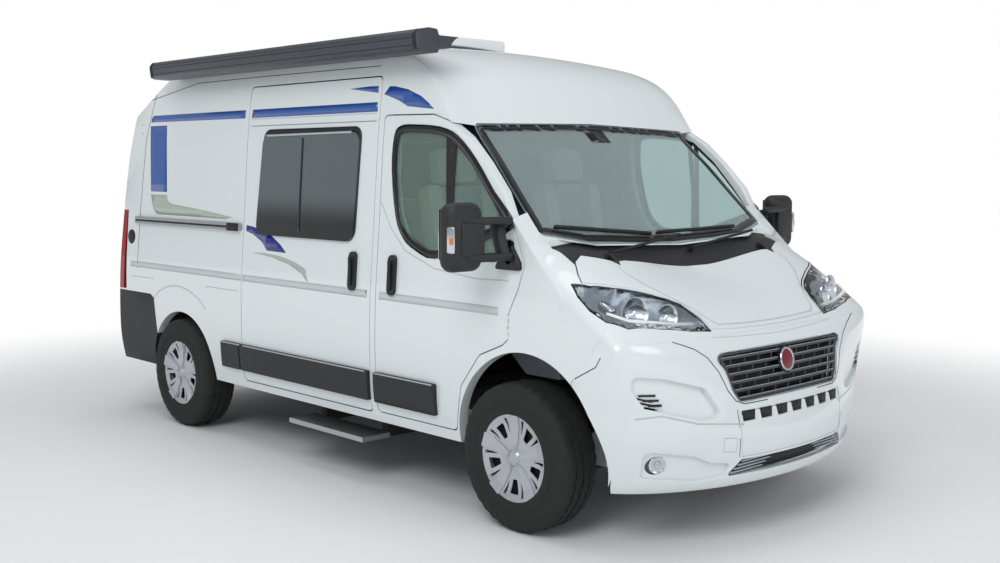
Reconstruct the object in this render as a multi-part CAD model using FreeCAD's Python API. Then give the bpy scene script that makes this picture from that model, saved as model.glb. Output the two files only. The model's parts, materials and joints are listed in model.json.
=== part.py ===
"""A high-roof camper van, built from its body panels, doors, lamps, axles and wheels."""

import FreeCAD, Part
import math
import os
from FreeCAD import Vector

os.makedirs("parts", exist_ok=True)

# Driving dimensions
wheelbase = 3000.0
front_overhang = 850.0
rear_overhang = 850.0
body_width = 2000.0
roof_height = 2348.0
sill_height = 345.0
belt_height = 968.0
floor_top = 600.0
floor_thickness = 50.0
wall = 55.0
front_skin = 40.0
shut_gap = 6.0
seat_gap = 0.3
running_clearance = 0.05
straight_turn = math.radians(0.5)
tyre_radius = 341.0
tyre_width = 215.0
bead_radius = 190.0
wheel_plane_y = 905.0
cover_radius = 209.0
kingpin_y = 860.0
overrun = 50.0

# Lengths that follow from the driving dimensions
body_length = front_overhang + wheelbase + rear_overhang
front_axle_x = body_length / 2 - front_overhang
half_width = body_width / 2
rear_axle_x = -wheelbase
rear_end_x = -wheelbase - rear_overhang
far = 2 * body_length

# Half of the body's cross-section, from under the sill to the middle of the roof: shares of half_width
# and of roof_height
section_shares = [
    (0.945, 0.04),
    (0.972, 0.145),
    (0.992, 0.205),
    (0.999, 0.265),
    (1.0, 0.35),
    (0.996, 0.413),
    (0.976, 0.532),
    (0.951, 0.68),
    (0.925, 0.812),
    (0.893, 0.907),
    (0.876, 0.934),
    (0.843, 0.9545),
    (0.79, 0.9665),
    (0.7, 0.976),
    (0.5, 0.9885),
    (0.25, 0.9975),
    (0.0, 1.0),
]

# Nose on the centre line: shares of front_overhang and of roof_height, then how far the plan corner falls
# back, its exponent, the rise beside the bonnet's middle and the fall at the wing
nose_rows_shares = [
    (0.935, 0.06, 0.5, 2.0, 0.0, 0.0),
    (0.96, 0.112, 0.5, 2.0, 0.0, 0.0),
    (0.988, 0.14, 0.5, 2.0, 0.0, 0.0),
    (1.0, 0.179, 0.5, 2.0, 0.0, 0.0),
    (0.988, 0.221, 0.47, 2.1, 0.0, 0.0),
    (0.957, 0.256, 0.42, 2.2, 0.0, 0.0),
    (0.924, 0.299, 0.34, 2.4, 0.0, 0.0),
    (0.891, 0.34, 0.27, 2.6, 0.0, 0.01),
    (0.853, 0.375, 0.2, 2.8, 0.0, 0.04),
    (0.795, 0.397, 0.13, 3.0, 0.01, 0.09),
    (0.706, 0.422, 0.08, 3.0, 0.02, 0.15),
    (0.565, 0.451, 0.05, 3.0, 0.04, 0.19),
    (0.4, 0.48, 0.03, 3.0, 0.065, 0.2),
    (0.245, 0.506, 0.02, 3.0, 0.08, 0.2),
    (0.05, 0.53, 0.02, 3.0, 0.085, 0.2),
    (-0.25, 0.56, 0.02, 3.0, 0.085, 0.2),
]

# Windscreen, forehead and roof cap on the centre line: x as a share of wheelbase, z as a share of roof_height
upper_shares = [
    (0.19, 0.379),
    (0.142, 0.4255),
    (0.0953, 0.4845),
    (0.0487, 0.5426),
    (-0.001, 0.6055),
    (-0.051, 0.6685),
    (-0.101, 0.7312),
    (-0.1513, 0.794),
    (-0.178, 0.846),
    (-0.205, 0.889),
    (-0.237, 0.92),
    (-0.28, 0.945),
    (-0.337, 0.9645),
    (-0.42, 0.98),
    (-0.535, 0.991),
    (-0.7, 1.0),
    (-1.0, 1.012),
    (-1.4, 1.026),
]
upper_bow_share = 0.045
across_upper_shares = [0.0, 0.25, 0.5, 0.75, 1.0, 1.1]

# Tail on the centre line, ahead of the rearmost line: shares of rear_overhang and of roof_height
tail_shares = [
    (0.06, 0.02),
    (0.018, 0.145),
    (0.0, 0.213),
    (0.008, 0.34),
    (0.035, 0.511),
    (0.088, 0.681),
    (0.17, 0.809),
    (0.26, 0.894),
    (0.36, 0.958),
    (0.6, 1.08),
]
tail_bow_share = 0.03
wing_power_share = 4.0
across_shares = [0.0, 0.2, 0.4, 0.57, 0.7, 0.8, 0.875, 0.93, 0.965, 0.987, 1.0]
side_margin_share = 1.004


def v(x, y, z):
    return Vector(x, y, z)


def save(shape, node):
    """Write one piece, moved so that the origin lies under the middle of the van."""
    out = shape.copy()
    out.translate(v(front_axle_x, 0, 0))
    out.exportStep("parts/" + node + ".step")


def mirrored(shape):
    """The same piece on the other side of the van."""
    return shape.mirror(v(0, 0, 0), v(0, 1, 0))


def fuse(shapes):
    whole = shapes[0]
    if len(shapes) > 1:
        whole = whole.fuse(shapes[1:])
    return whole.removeSplitter()


def group(shapes):
    return Part.makeCompound(shapes)


def box(x0, x1, y0, y1, z0, z1):
    return Part.makeBox(x1 - x0, y1 - y0, z1 - z0, v(x0, y0, z0))


def both_sides(shape):
    return [shape, mirrored(shape)]


def interpolate(table, at):
    """Value of a table of (place, value) pairs at a place, straight between its rows."""
    if at <= table[0][0]:
        return table[0][1]
    for (low, first), (high, second) in zip(table, table[1:]):
        if at <= high:
            return first + (second - first) * (at - low) / (high - low)
    return table[-1][1]


def section_curve(inset=0.0):
    """Outline of the body in the plane x = 0, from the right sill over the roof to the left sill."""
    scale = (half_width - inset) / half_width
    half = [v(0, -w * half_width * scale, h * roof_height - inset * h) for w, h in section_shares[:-1]]
    top = [v(0, 0, roof_height - inset)]
    curve = Part.BSplineCurve()
    curve.interpolate(half + top + [v(0, -p.y, p.z) for p in reversed(half)])
    return curve


def side_table():
    """Points along that outline below the roof, close enough together to read a half width at any height."""
    points = section_curve().discretize(Number=40 * len(section_shares))
    side = [(p.z, -p.y) for p in points if -p.y > section_shares[-7][0] * half_width]
    return side


side_places = side_table()


def side_y(z, inset=0.0):
    """Half width of the body at a height."""
    return interpolate(side_places, z) - inset


def falling(t, power):
    """0 in the middle of a superellipse and 1 at its end."""
    return 1 - max(0.0, 1 - t ** power) ** (1 / power)


def rounded_outline(points, radius, place):
    """Closed wire through flat points, each corner rounded, put in space by place(a, b)."""
    count = len(points)
    radii = radius if isinstance(radius, list) else [radius] * count
    edges = []
    ends = []
    for i in range(count):
        before = Vector(points[i - 1][0], points[i - 1][1], 0)
        here = Vector(points[i][0], points[i][1], 0)
        after = Vector(points[(i + 1) % count][0], points[(i + 1) % count][1], 0)
        inward = (before - here).normalize()
        onward = (after - here).normalize()
        turn = math.pi - inward.getAngle(onward)
        if radii[i] == 0 or turn < straight_turn:
            ends.append((here, here, here, 0))
            continue
        reach = radii[i] * math.tan(turn / 2)
        start = here + inward * reach
        stop = here + onward * reach
        bisector = (inward + onward).normalize()
        centre = here + bisector * (radii[i] / math.cos(turn / 2))
        middle = centre - bisector * radii[i]
        ends.append((start, middle, stop, radii[i]))
    for i in range(count):
        start, middle, stop, size = ends[i]
        if size > 0:
            edges.append(Part.Arc(place(start.x, start.y), place(middle.x, middle.y),
                place(stop.x, stop.y)).toShape())
        following = ends[(i + 1) % count][0]
        if (following - stop).Length > running_clearance:
            edges.append(Part.LineSegment(place(stop.x, stop.y), place(following.x, following.y)).toShape())
    return Part.Wire(Part.__sortEdges__(edges))


def prism_y(points, y0, y1, radius=0.0):
    """Solid between two side planes from an outline of (x, z) points."""
    wire = rounded_outline(points, radius, lambda a, b: v(a, y0, b))
    return Part.Face(wire).extrude(v(0, y1 - y0, 0))


def prism_x(points, x0, x1, radius=0.0):
    """Solid between two cross planes from an outline of (y, z) points."""
    wire = rounded_outline(points, radius, lambda a, b: v(x0, a, b))
    return Part.Face(wire).extrude(v(x1 - x0, 0, 0))


def prism_z(points, z0, z1, radius=0.0):
    """Solid between two heights from an outline of (x, y) points."""
    wire = rounded_outline(points, radius, lambda a, b: v(a, b, z0))
    return Part.Face(wire).extrude(v(0, 0, z1 - z0))


def skin(rows):
    surface = Part.BSplineSurface()
    surface.interpolate(rows)
    return surface.toShape()


def spread(half):
    """Half a row of points, mirrored to a whole one."""
    return [v(p.x, -p.y, p.z) for p in reversed(half[1:])] + half


def side_prism(inset):
    """The body's cross-section, run along its length."""
    arch = section_curve(inset).toShape()
    arch.translate(v(rear_end_x - overrun, 0, 0))
    ends = [arch.Vertexes[0].Point, arch.Vertexes[-1].Point]
    low = Part.LineSegment(ends[0], ends[1]).toShape()
    wire = Part.Wire(Part.__sortEdges__([arch, low]))
    return Part.Face(wire).extrude(v(body_length + 2 * overrun, 0, 0))


def nose_solid(inset):
    """Everything behind the bumper, grille and bonnet surface."""
    rows = []
    for x_share, z_share, back_share, power, rise_share, fall_share in nose_rows_shares:
        half = []
        for t in across_shares:
            back = back_share * half_width * falling(t, power)
            rise = rise_share * half_width * math.sin(math.pi * t / 1.6) ** 2
            fall = fall_share * half_width * falling(t, wing_power_share)
            x = x_share * front_overhang - back
            z = z_share * roof_height + rise - fall
            half.append(v(x, t * side_y(z) * side_margin_share, z))
        rows.append(spread(half))
    shape = skin(rows).extrude(v(-far, 0, -far))
    if inset > 0:
        shape.translate(v(-inset, 0, -inset))
    return shape


def upper_solid(inset):
    """Everything behind the windscreen and under the roof cap."""
    centre = [(a * wheelbase, b * roof_height) for a, b in upper_shares]
    rows = []
    for i, (x, z) in enumerate(centre):
        x0, z0 = centre[max(i - 1, 0)]
        x1, z1 = centre[min(i + 1, len(centre) - 1)]
        length = math.hypot(x1 - x0, z1 - z0)
        out_x = (z1 - z0) / length
        out_z = -(x1 - x0) / length
        half = []
        for t in across_upper_shares:
            drop = upper_bow_share * half_width * t * t + inset
            half.append(v(x - out_x * drop, t * half_width, z - out_z * drop))
        rows.append(spread(half))
    return skin(rows).extrude(v(-far, 0, -far))


def tail_solid(inset):
    """Everything ahead of the tail surface."""
    rows = []
    for x_share, z_share in tail_shares:
        half = []
        for t in across_upper_shares:
            x = rear_end_x + x_share * rear_overhang + tail_bow_share * half_width * t * t + inset
            half.append(v(x, t * half_width, z_share * roof_height))
        rows.append(spread(half))
    return skin(rows).extrude(v(far, 0, 0))


# Body structure
firewall_x = 150.0
firewall_thickness = 40.0
bumper_bottom = 262.0
body_top_z = 2600.0
arch_front_x = 60.0
arch_front_z = 385.0
arch_front_radius = 440.0
arch_rear_x = rear_axle_x + 15.0
arch_rear_z = 350.0
arch_rear_radius = 380.0
liner_thickness = 8.0
arch_inner_y = 590.0
rail_y0 = 430.0
rail_y1 = 510.0
rail_depth = 110.0

# Doors, lids and glass
glass_depth = 6.0
glass_thickness = 5.0
corner_radius = 60.0
small_radius = 20.0
hinge_pin_radius = 2.5
hinge_barrel_radius = 5.5
hinge_length = 24.0
hinge_play = 2.0
front_hinge_x = -43.0
front_hinge_heights = (900.0, 958.0)
leaf_reach = 30.0
leaf_inset = 18.0
rear_leaf_reach = 45.0
rear_hinge_inset = 12.0
rear_hinge_x = rear_end_x + rear_hinge_inset
tail_reach = 450.0
arch_lip = 80.0
rear_hinge_heights = (760.0, 1180.0, 1300.0)
rear_door_margin = 75.0
meeting_slope_share = 0.3
wedge_count = 12
door_radius = 30.0
pane_stand = 14.0
mirror_base_depth = 18.0
handle_thickness = 16.0
slat_count = 5
grille_depth = 14.0
grille_thickness = 20.0
grille_frame = 22.0
lamp_set_back = 2.0
liner_low = 90.0
trim_thickness = 22.0
lamp_depth = 90.0
front_door_shares = [
    (-0.3353, 0.1682),
    (-0.1317, 0.1682),
    (-0.1167, 0.2641),
    (-0.075, 0.3322),
    (-0.025, 0.3586),
    (-0.0133, 0.3705),
    (-0.0133, 0.4195),
    (0.0053, 0.4698),
    (0.015, 0.5166),
    (-0.0117, 0.5877),
    (-0.0393, 0.6533),
    (-0.0823, 0.7113),
    (-0.1263, 0.7606),
    (-0.1703, 0.793),
    (-0.2093, 0.8075),
    (-0.3353, 0.81),
]
front_window_shares = [
    (-0.306, 0.7858),
    (-0.1907, 0.7807),
    (-0.147, 0.7606),
    (-0.1023, 0.7142),
    (-0.0587, 0.6525),
    (-0.0253, 0.5962),
    (-0.0367, 0.5162),
    (-0.1857, 0.514),
    (-0.2353, 0.5272),
    (-0.2687, 0.5511),
    (-0.29, 0.595),
    (-0.3047, 0.67),
]
slide_door_shares = [
    (-0.7583, 0.164),
    (-0.3483, 0.164),
    (-0.3483, 0.8944),
    (-0.7583, 0.8944),
]
side_window_shares = [
    (-0.7083, 0.5341),
    (-0.4017, 0.5341),
    (-0.3957, 0.7756),
    (-0.695, 0.7756),
]
left_window_shares = [
    (-1.0833, 0.5963),
    (-0.8333, 0.5963),
    (-0.8333, 0.7756),
    (-1.0833, 0.7756),
]
rear_door_low = 565.0
rear_door_high = 1960.0
rear_window_shares = [
    (0.14, 0.5664),
    (0.76, 0.5664),
    (0.74, 0.7794),
    (0.14, 0.7794),
]
bumper_shares = [
    (0.3333, 0.0639),
    (0.1267, 0.0639),
    (0.115, 0.3109),
    (0.1733, 0.4089),
    (0.2133, 0.3901),
    (0.3333, 0.3901),
]
bonnet_shares = [
    (0.0817, 0.0),
    (0.0817, 0.64),
    (0.0617, 0.775),
    (0.0687, 0.835),
    (0.0887, 0.88),
    (0.1033, 0.903),
    (0.1123, 0.874),
    (0.129, 0.792),
    (0.1467, 0.668),
    (0.163, 0.559),
    (0.1767, 0.497),
    (0.2003, 0.4635),
    (0.2225, 0.4535),
    (0.2262, 0.292),
    (0.2277, 0.1),
    (0.2277, 0.0),
]
bonnet_low = 908.0
bonnet_hinge_x = 206.0
bonnet_hinge_y = 600.0
bonnet_hinge_z = 1250.0
bonnet_arm_reach = 66.0
bonnet_arm_fall = 76.0
bonnet_thickness = 5.0
bonnet_bend_share = 0.78
lamp_shares = [
    (0.224, 0.461),
    (0.219, 0.591),
    (0.2073, 0.752),
    (0.1903, 0.899),
    (0.165, 0.951),
    (0.139, 0.964),
    (0.1143, 0.958),
    (0.094, 0.936),
    (0.1147, 0.883),
    (0.1317, 0.799),
    (0.1493, 0.674),
    (0.165, 0.566),
    (0.1787, 0.504),
    (0.2013, 0.471),
]
windscreen_shares = [
    (-0.798, 0.7879),
    (0.0, 0.7956),
    (0.798, 0.7879),
    (0.868, 0.5707),
    (0.6, 0.5503),
    (0.0, 0.5417),
    (-0.6, 0.5503),
    (-0.868, 0.5707),
]
cowl_x0 = 60.0
cowl_x1 = 239.0
cowl_shares = [
    (-0.862, 0.5673),
    (-0.6, 0.5477),
    (0.0, 0.5392),
    (0.6, 0.5477),
    (0.862, 0.5673),
    (0.835, 0.477),
    (-0.835, 0.477),
]
cowl_drop = 14.0
grille_shares = [
    (-0.47, 0.361),
    (0.47, 0.361),
    (0.515, 0.353),
    (0.462, 0.33),
    (0.428, 0.286),
    (0.39, 0.2675),
    (-0.39, 0.2675),
    (-0.428, 0.286),
    (-0.462, 0.33),
    (-0.515, 0.353),
]
low_grille_shares = [
    (-0.4, 0.1627),
    (0.4, 0.1627),
    (0.478, 0.1333),
    (-0.478, 0.1333),
]
side_recess_shares = [
    (-0.935, 0.3343),
    (-0.8, 0.3271),
    (-0.589, 0.3024),
    (-0.492, 0.2474),
    (-0.596, 0.2419),
    (-0.805, 0.2666),
    (-0.876, 0.279),
    (-0.928, 0.3083),
]
fog_recess_shares = [
    (-0.84, 0.1435),
    (-0.842, 0.1857),
    (-0.816, 0.1925),
    (-0.644, 0.1802),
    (-0.558, 0.1635),
    (-0.449, 0.158),
    (-0.48, 0.1354),
    (-0.608, 0.1312),
]
plate_panel_shares = [
    (-0.39, 0.2517),
    (0.39, 0.2517),
    (0.41, 0.2193),
    (0.4, 0.1665),
    (-0.4, 0.1665),
    (-0.41, 0.2193),
]
tow_cover_shares = [
    (-0.505, 0.2083),
    (-0.43, 0.2053),
    (-0.43, 0.1775),
    (-0.502, 0.1806),
]
side_recess_depth = 24.0
fog_recess_depth = 20.0
fog_set_back = 3.0
fog_thickness = 14.0
groove_width = 4.0
groove_depth = 5.0
slit_count = 3
slit_height = 9.0
slit_pitch = 19.0
slit_top = 692.0
slit_lean_share = 0.28
slit_y0 = -893.0
slit_y1 = -822.0
slit_step = 12.0
low_slat_count = 3
slot_count = 7
slot_width = 84.0
slot_pitch = 116.0
slot_low = 546.0
slot_height = 46.0
fog_y = 780.0
fog_z = 389.0
fog_radius = 41.0
rear_corner_shares = [
    (-1.0873, 0.1278),
    (-1.1117, 0.3365),
    (-1.1267, 0.3458),
    (-1.3667, 0.3458),
    (-1.3667, 0.1278),
]
tail_lamp_x = -3716.0
tail_lamp_low = 822.0
tail_lamp_high = 1350.0
tail_lamp_y = 925.0

# Trim on the sides
moulding_corner = 6.0
moulding_low = 451.0
moulding_high = 605.0
moulding_front = -529.0
moulding_rear = -2480.0
handle_width = 58.0
handle_low = 1006.0
handle_high = 1206.0
front_handle_x = -870.0
slide_handle_x = -1195.0
slide_rail_z = 1290.0
slide_rail_height = 46.0
slide_rail_front = -2290.0
slide_rail_rear = -3580.0

# Roof
awning_front = -575.0
awning_rear = -3160.0
awning_shares = [
    (-0.8, 0.9625),
    (-0.94, 0.9625),
    (-0.948, 0.9745),
    (-1.0, 0.9762),
    (-1.062, 0.971),
    (-1.082, 0.96),
    (-1.074, 0.932),
    (-1.05, 0.928),
    (-0.945, 0.927),
    (-0.94, 0.938),
    (-0.8, 0.938),
]
skylight_front = -1500.0
skylight_length = 650.0
skylight_width = 780.0
skylight_high = 2400.0
skylight_corner = 15.0
awning_corner = 12.0

# Mirrors
mirror_head_shares = [
    (-0.05, 0.5111),
    (-0.0433, 0.5047),
    (-0.0233, 0.5047),
    (-0.0167, 0.5153),
    (-0.0183, 0.6239),
    (-0.0267, 0.6346),
    (-0.0467, 0.6346),
    (-0.0517, 0.6239),
]
mirror_head_x = -100.0
mirror_y0 = 1150.0
mirror_y1 = 1330.0
mirror_base_shares = [
    (-0.0433, 0.5051),
    (0.01, 0.5051),
    (0.008, 0.5204),
    (-0.02, 0.5664),
]
mirror_base_y = 1015.0
mirror_arm_radius = 16.0
mirror_arms_z = (1228.0, 1300.0)
mirror_arm_x = -40.0

# Wheels, axles and knuckles; the tyre's section as shares of its radius and width
tyre_foot_rise = 4.0
bead_inner_share = -0.404
bead_outer_share = 0.404
tyre_shares = [
    (0.6334, 0.484),
    (0.77, 0.5),
    (0.925, 0.475),
    (0.985, 0.4),
    (1.0, 0.28),
    (1.0, -0.28),
    (0.985, -0.4),
    (0.925, -0.475),
    (0.77, -0.5),
    (0.62, -0.484),
]
hub_radius = 66.0
stub_radius = 30.0
stub_end_y = 945.0
arm_z = (245.0, 437.0)
arm_thickness = 22.0
arm_half_width = 32.0
kingpin_radius = 15.0
knuckle_half = 30.0
hub_inner_y = 886.0
hub_outer_y = 958.0
rim_thickness = 7.0
rim_half_width = 95.0
rim_lip = 10.0
rim_seat = 2.0
disc_place = 20.0
disc_thickness = 10.0
wheel_depth = 130.0
cover_thickness = 5.0
cover_corner = 6.0
petal_rise = 7.0
spoke_count = 5
slot_lean = 17.5
cover_profile = [(0, 97.0), (30.0, 97.0), (37.0, 88.0), (75.0, 81.0), (150.0, 85.0), (192.0, 98.0),
    (205.0, 101.0), (cover_radius, 97.0)]
cover_window = (100.0, 13.0, 166.0, 27.0)
cover_slot = (118.0, 1.5, 186.0, 8.0)
cover_petal = (26.0, 9.0, 198.0, 37.0)
axle_tube_radius = 36.0
spring_y = 545.0
spring_width = 60.0
spring_thickness = 14.0
spring_half_length = 620.0
steer_x = 0.0

# Front crossmember, rear springs and frame rails
knuckle_outer = 20.0
knuckle_inner = 25.0
beam_half_width = 60.0
beam_half_length = 520.0
beam_low = 215.0
beam_high = 300.0
tower_overlap = 5.0
tower_y = 560.0
bracket_inset = 10.0
bracket_half = 32.0
axle_tube_end_y = 780.0
spring_seat_half = 60.0
spring_eye = 30.0
rail_rear_inset = 90.0
rail_front_x = 640.0

# Engine, tanks and exhaust
engine_x0 = 240.0
engine_x1 = 600.0
engine_half_width = 330.0
engine_low = 320.0
engine_high = 880.0
mount_x0 = 360.0
mount_x1 = 480.0
mount_low = 470.0
mount_high = 520.0
exhaust_y = 250.0
exhaust_z = 412.0
pipe_radius = 28.0
pipe_length = 2700.0
pipe_inset = 150.0
drum_radius = 85.0
drum_length = 600.0
drum_x = -2000.0
hanger_width = 30.0
hanger_places = (-3600.0, -1700.0, -1100.0)
fuel_x0 = -1500.0
fuel_x1 = -760.0
fuel_y0 = -420.0
fuel_y1 = -100.0
water_x0 = -2450.0
water_x1 = -2150.0
water_y0 = -400.0
water_y1 = 100.0
tank_low = 340.0

# Cab; the seat's and dashboard's outlines are shares of their own length and height
seat_width = 520.0
seat_y = 430.0
seat_x = -760.0
seat_base_z = 960.0
cushion_depth = 100.0
seat_box_half = 190.0
seat_length = 500.0
seat_height = 900.0
seat_radius = 25.0
seat_shares = [
    (0.52, 0.0),
    (0.52, 0.1556),
    (-0.3, 0.1222),
    (-0.58, 1.0),
    (-0.74, 1.0),
    (-0.64, 0.2222),
    (-0.52, 0.0),
]
dash_depth = 480.0
dash_low = 700.0
dash_height = 550.0
dash_screen_gap = 40.0
dash_side_gap = 15.0
dash_shares = [
    (0.0, 0.2909),
    (0.0, 0.7),
    (0.035, 0.72),
    (0.035, 1.0),
    (0.2286, 1.0),
    (0.8327, 0.8909),
    (0.9994, 0.7818),
    (0.9369, 0.3636),
    (0.4369, 0.0),
    (0.0, 0.0),
]
wheel_rim_radius = 190.0
wheel_tube_radius = 15.0
wheel_x = -440.0
wheel_z = 1180.0
column_rake = math.radians(50.0)
column_radius = 28.0
column_length = 260.0
hub_pad_radius = 60.0
dash_half_width = 860.0
wiper_x = 160.0
wiper_z = 1235.0
wiper_right_y = -560.0
wiper_left_y = 60.0
wiper_length = 560.0
wiper_lift = 26.0
wiper_arm_radius = 7.0
wiper_lean = math.radians(7.0)
spindle_radius = 12.0
spindle_length = 86.0
wiper_outward_share = 0.04
screen_rake = math.radians(44.5)
spoke_radius = 10.5

# Entry step
step_front = -1067.0
step_rear = -1732.0
step_z = 258.0
step_thickness = 26.0
step_depth = 180.0
step_arm_width = 30.0
step_arm_inset = 60.0
step_arm_end_y = 400.0
step_guide_y0 = 840.0
step_guide_y1 = 560.0
step_guide_wall = 8.0
step_edge_y = 1035.0
step_out = 220.0


def side_points(shares):
    """Outline points seen from the side, from shares of wheelbase and roof_height."""
    return [(x * wheelbase, z * roof_height) for x, z in shares]


def front_points(shares):
    """Outline points seen from the front, from shares of half_width and roof_height."""
    return [(y * half_width, z * roof_height) for y, z in shares]


def plan_points(shares):
    """Outline points seen from above, from shares of wheelbase and half_width."""
    return [(x * wheelbase, y * half_width) for x, y in shares]


def grown(points, margin):
    """An outline moved out by a margin, or in by a negative one."""
    area = 0.0
    for (a0, b0), (a1, b1) in zip(points, points[1:] + points[:1]):
        area += (a0 * b1 - a1 * b0) / 2
    turn = 1 if area > 0 else -1
    out = []
    count = len(points)
    for i in range(count):
        a0, b0 = points[i - 1]
        a1, b1 = points[i]
        a2, b2 = points[(i + 1) % count]
        first = Vector(b1 - b0, a0 - a1, 0).normalize() * turn
        second = Vector(b2 - b1, a1 - a2, 0).normalize() * turn
        middle = (first + second).normalize()
        reach = margin / max(middle.dot(first), 0.3)
        out.append((a1 + middle.x * reach, b1 + middle.y * reach))
    return out


def right_prism(points, radius, margin=0.0, inner_y=None):
    """Cutter for the right side of the body from a side outline."""
    inner = half_width / 2 if inner_y is None else inner_y
    return prism_y(grown(points, margin), -half_width - 4 * overrun, -inner, radius)


def cross_prism(points, x0, x1, radius, margin=0.0):
    return prism_x(grown(points, margin), x0, x1, radius)


def cut_all(shape, tools):
    for tool in tools:
        shape = shape.cut(tool)
    return shape


def y_cylinder(x, z, radius, y0, y1):
    return Part.makeCylinder(radius, abs(y1 - y0), v(x, min(y0, y1), z), v(0, 1, 0))


def z_cylinder(x, y, radius, z0, z1):
    return Part.makeCylinder(radius, z1 - z0, v(x, y, z0), v(0, 0, 1))


def largest(shape):
    return max(shape.Solids, key=lambda solid: solid.Volume)


def whole_body():
    """The van's outer form, and the same form drawn in for the inside of its walls."""
    frame = side_prism(0.0).common(tail_solid(0.0))
    low = frame.common(box(rear_end_x - overrun, arch_front_x, -far, far, sill_height, body_top_z))
    front = frame.common(box(arch_front_x, front_overhang + overrun, -far, far, bumper_bottom, body_top_z))
    body = low.fuse(front)
    upper = body.common(upper_solid(0.0))
    nose = body.common(nose_solid(0.0))
    nose = nose.common(box(-wheelbase / 5, front_overhang + overrun, -far, far, 0, body_top_z))
    return upper.fuse(nose)


def cabin_space():
    """Inside of the cab and load space."""
    space = side_prism(wall).common(tail_solid(wall)).common(upper_solid(wall))
    return space.common(box(rear_end_x, firewall_x, -half_width, half_width, 0, body_top_z))


def engine_bay():
    """Inside of the nose, between firewall and bumper."""
    start = firewall_x + firewall_thickness
    space = box(start, front_overhang, -half_width, half_width, sill_height / 2, body_top_z / 2)
    return space.common(side_prism(front_skin)).common(nose_solid(front_skin))


def arch_tools(radius_margin, y0, y1):
    tools = []
    for x, z, radius in (
        (arch_front_x, arch_front_z, arch_front_radius),
        (arch_rear_x, arch_rear_z, arch_rear_radius),
    ):
        tool = y_cylinder(x, z, radius + radius_margin, -y1, -y0)
        tools += both_sides(tool)
    return tools


def glass_pane(points, kind, depth=glass_depth, thickness=glass_thickness):
    """A pane that follows the body's skin inside an opening."""
    if kind == "side":
        region = right_prism(points, corner_radius, -seat_gap)
        return layer(region, side_prism, depth, depth + thickness)
    if kind == "rear":
        region = cross_prism(points, rear_end_x - overrun, rear_axle_x - overrun, corner_radius, -seat_gap)
        return layer(region, tail_solid, depth, depth + thickness)
    region = cross_prism(points, -wheelbase / 4, firewall_x + wall, small_radius, -seat_gap)
    return layer(region, upper_solid, depth, depth + thickness)


def layer(region, form, outer, inner):
    """The part of a region between two insets of one of the body's forms."""
    return region.common(form(outer)).cut(form(inner))


def hinge(x, y, z, toward_door, toward_body, length=hinge_length):
    """Upright hinge: a pin with a leaf on the door, and two lugs on the body, at one height."""
    pin = z_cylinder(x, y, hinge_pin_radius, z - length, z + length)
    leaf = z_cylinder(x, y, hinge_barrel_radius, z - length / 3, z + length / 3)
    leaf = leaf.fuse(strap(x, y, z - length / 3, z + length / 3, toward_door))
    lugs = []
    for low in (z - length, z + length / 3 + 2 * seat_gap):
        high = low + length * 2 / 3 - 2 * seat_gap
        lug = z_cylinder(x, y, hinge_barrel_radius, low, high).fuse(strap(x, y, low, high, toward_body))
        lugs.append(lug.cut(z_cylinder(x, y, hinge_pin_radius + running_clearance, low - overrun,
            high + overrun)))
    return pin.fuse(leaf), lugs


def strap(x, y, z0, z1, toward):
    """Flat arm from a hinge axis to a point beside it."""
    reach = Vector(toward[0] - x, toward[1] - y, 0)
    across = Vector(-reach.y, reach.x, 0).normalize() * (hinge_barrel_radius * 0.6)
    corners = [
        v(x + across.x, y + across.y, z0),
        v(x + reach.x + across.x, y + reach.y + across.y, z0),
        v(x + reach.x - across.x, y + reach.y - across.y, z0),
        v(x - across.x, y - across.y, z0),
    ]
    face = Part.Face(Part.makePolygon(corners + corners[:1]))
    return face.extrude(v(0, 0, z1 - z0))


def trim(points, thickness, radius, low_gap=seat_gap):
    """A plate that lies on the right side of the body and follows it."""
    return layer(right_prism(points, radius), side_prism, -thickness, -low_gap)


def rectangle(a0, a1, b0, b1):
    return [(a0, b0), (a1, b0), (a1, b1), (a0, b1)]


def bonnet_outline(margin):
    half = plan_points(bonnet_shares)
    return grown(half + [(x, -y) for x, y in reversed(half[1:-1])], margin)


def bonnet_prism(margin):
    return prism_z(bonnet_outline(margin), bonnet_low - margin, body_top_z, 0.0)


def lamp_prism(margin):
    tool = prism_z(grown(plan_points(lamp_shares), margin), bumper_bottom, body_top_z, 0.0)
    return mirrored(tool.common(box(0, front_overhang, 0, half_width + overrun,
        bonnet_low - 2 * overrun, body_top_z)))


def under_bonnet():
    """The room right under the bonnet's sheet."""
    room = box(0, front_overhang, -half_width, half_width, bonnet_low - overrun, body_top_z)
    return room.common(nose_solid(bonnet_thickness)).common(side_prism(bonnet_thickness))


def rail_slots():
    """Openings in the firewall that the frame rails pass through."""
    low = floor_top - floor_thickness - rail_depth - shut_gap
    slot = box(firewall_x - overrun, rail_front_x, -rail_y1 - shut_gap, -rail_y0 + shut_gap, low, floor_top)
    return both_sides(slot)


def bonnet_arms():
    """Arms that join the bonnet to its hinge line, each with a barrel and a pin."""
    parts = []
    for y in (-bonnet_hinge_y, bonnet_hinge_y):
        half = hinge_length / 3
        x = bonnet_hinge_x
        z = bonnet_hinge_z
        reach = [(x, z - hinge_barrel_radius), (x, z + hinge_barrel_radius),
            (x + bonnet_arm_reach, z - bonnet_arm_fall / 2),
                 (x + bonnet_arm_reach,
                     z - bonnet_arm_fall), (x + bonnet_arm_reach * bonnet_bend_share, z - bonnet_arm_fall)]
        arm = prism_y(reach, y - half, y + half, 0.0)
        barrel = y_cylinder(x, z, hinge_barrel_radius, y - half, y + half)
        pin = y_cylinder(x, z, hinge_pin_radius, y - hinge_length, y + hinge_length)
        parts.append(fuse([arm, barrel, pin]))
    return parts


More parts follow.
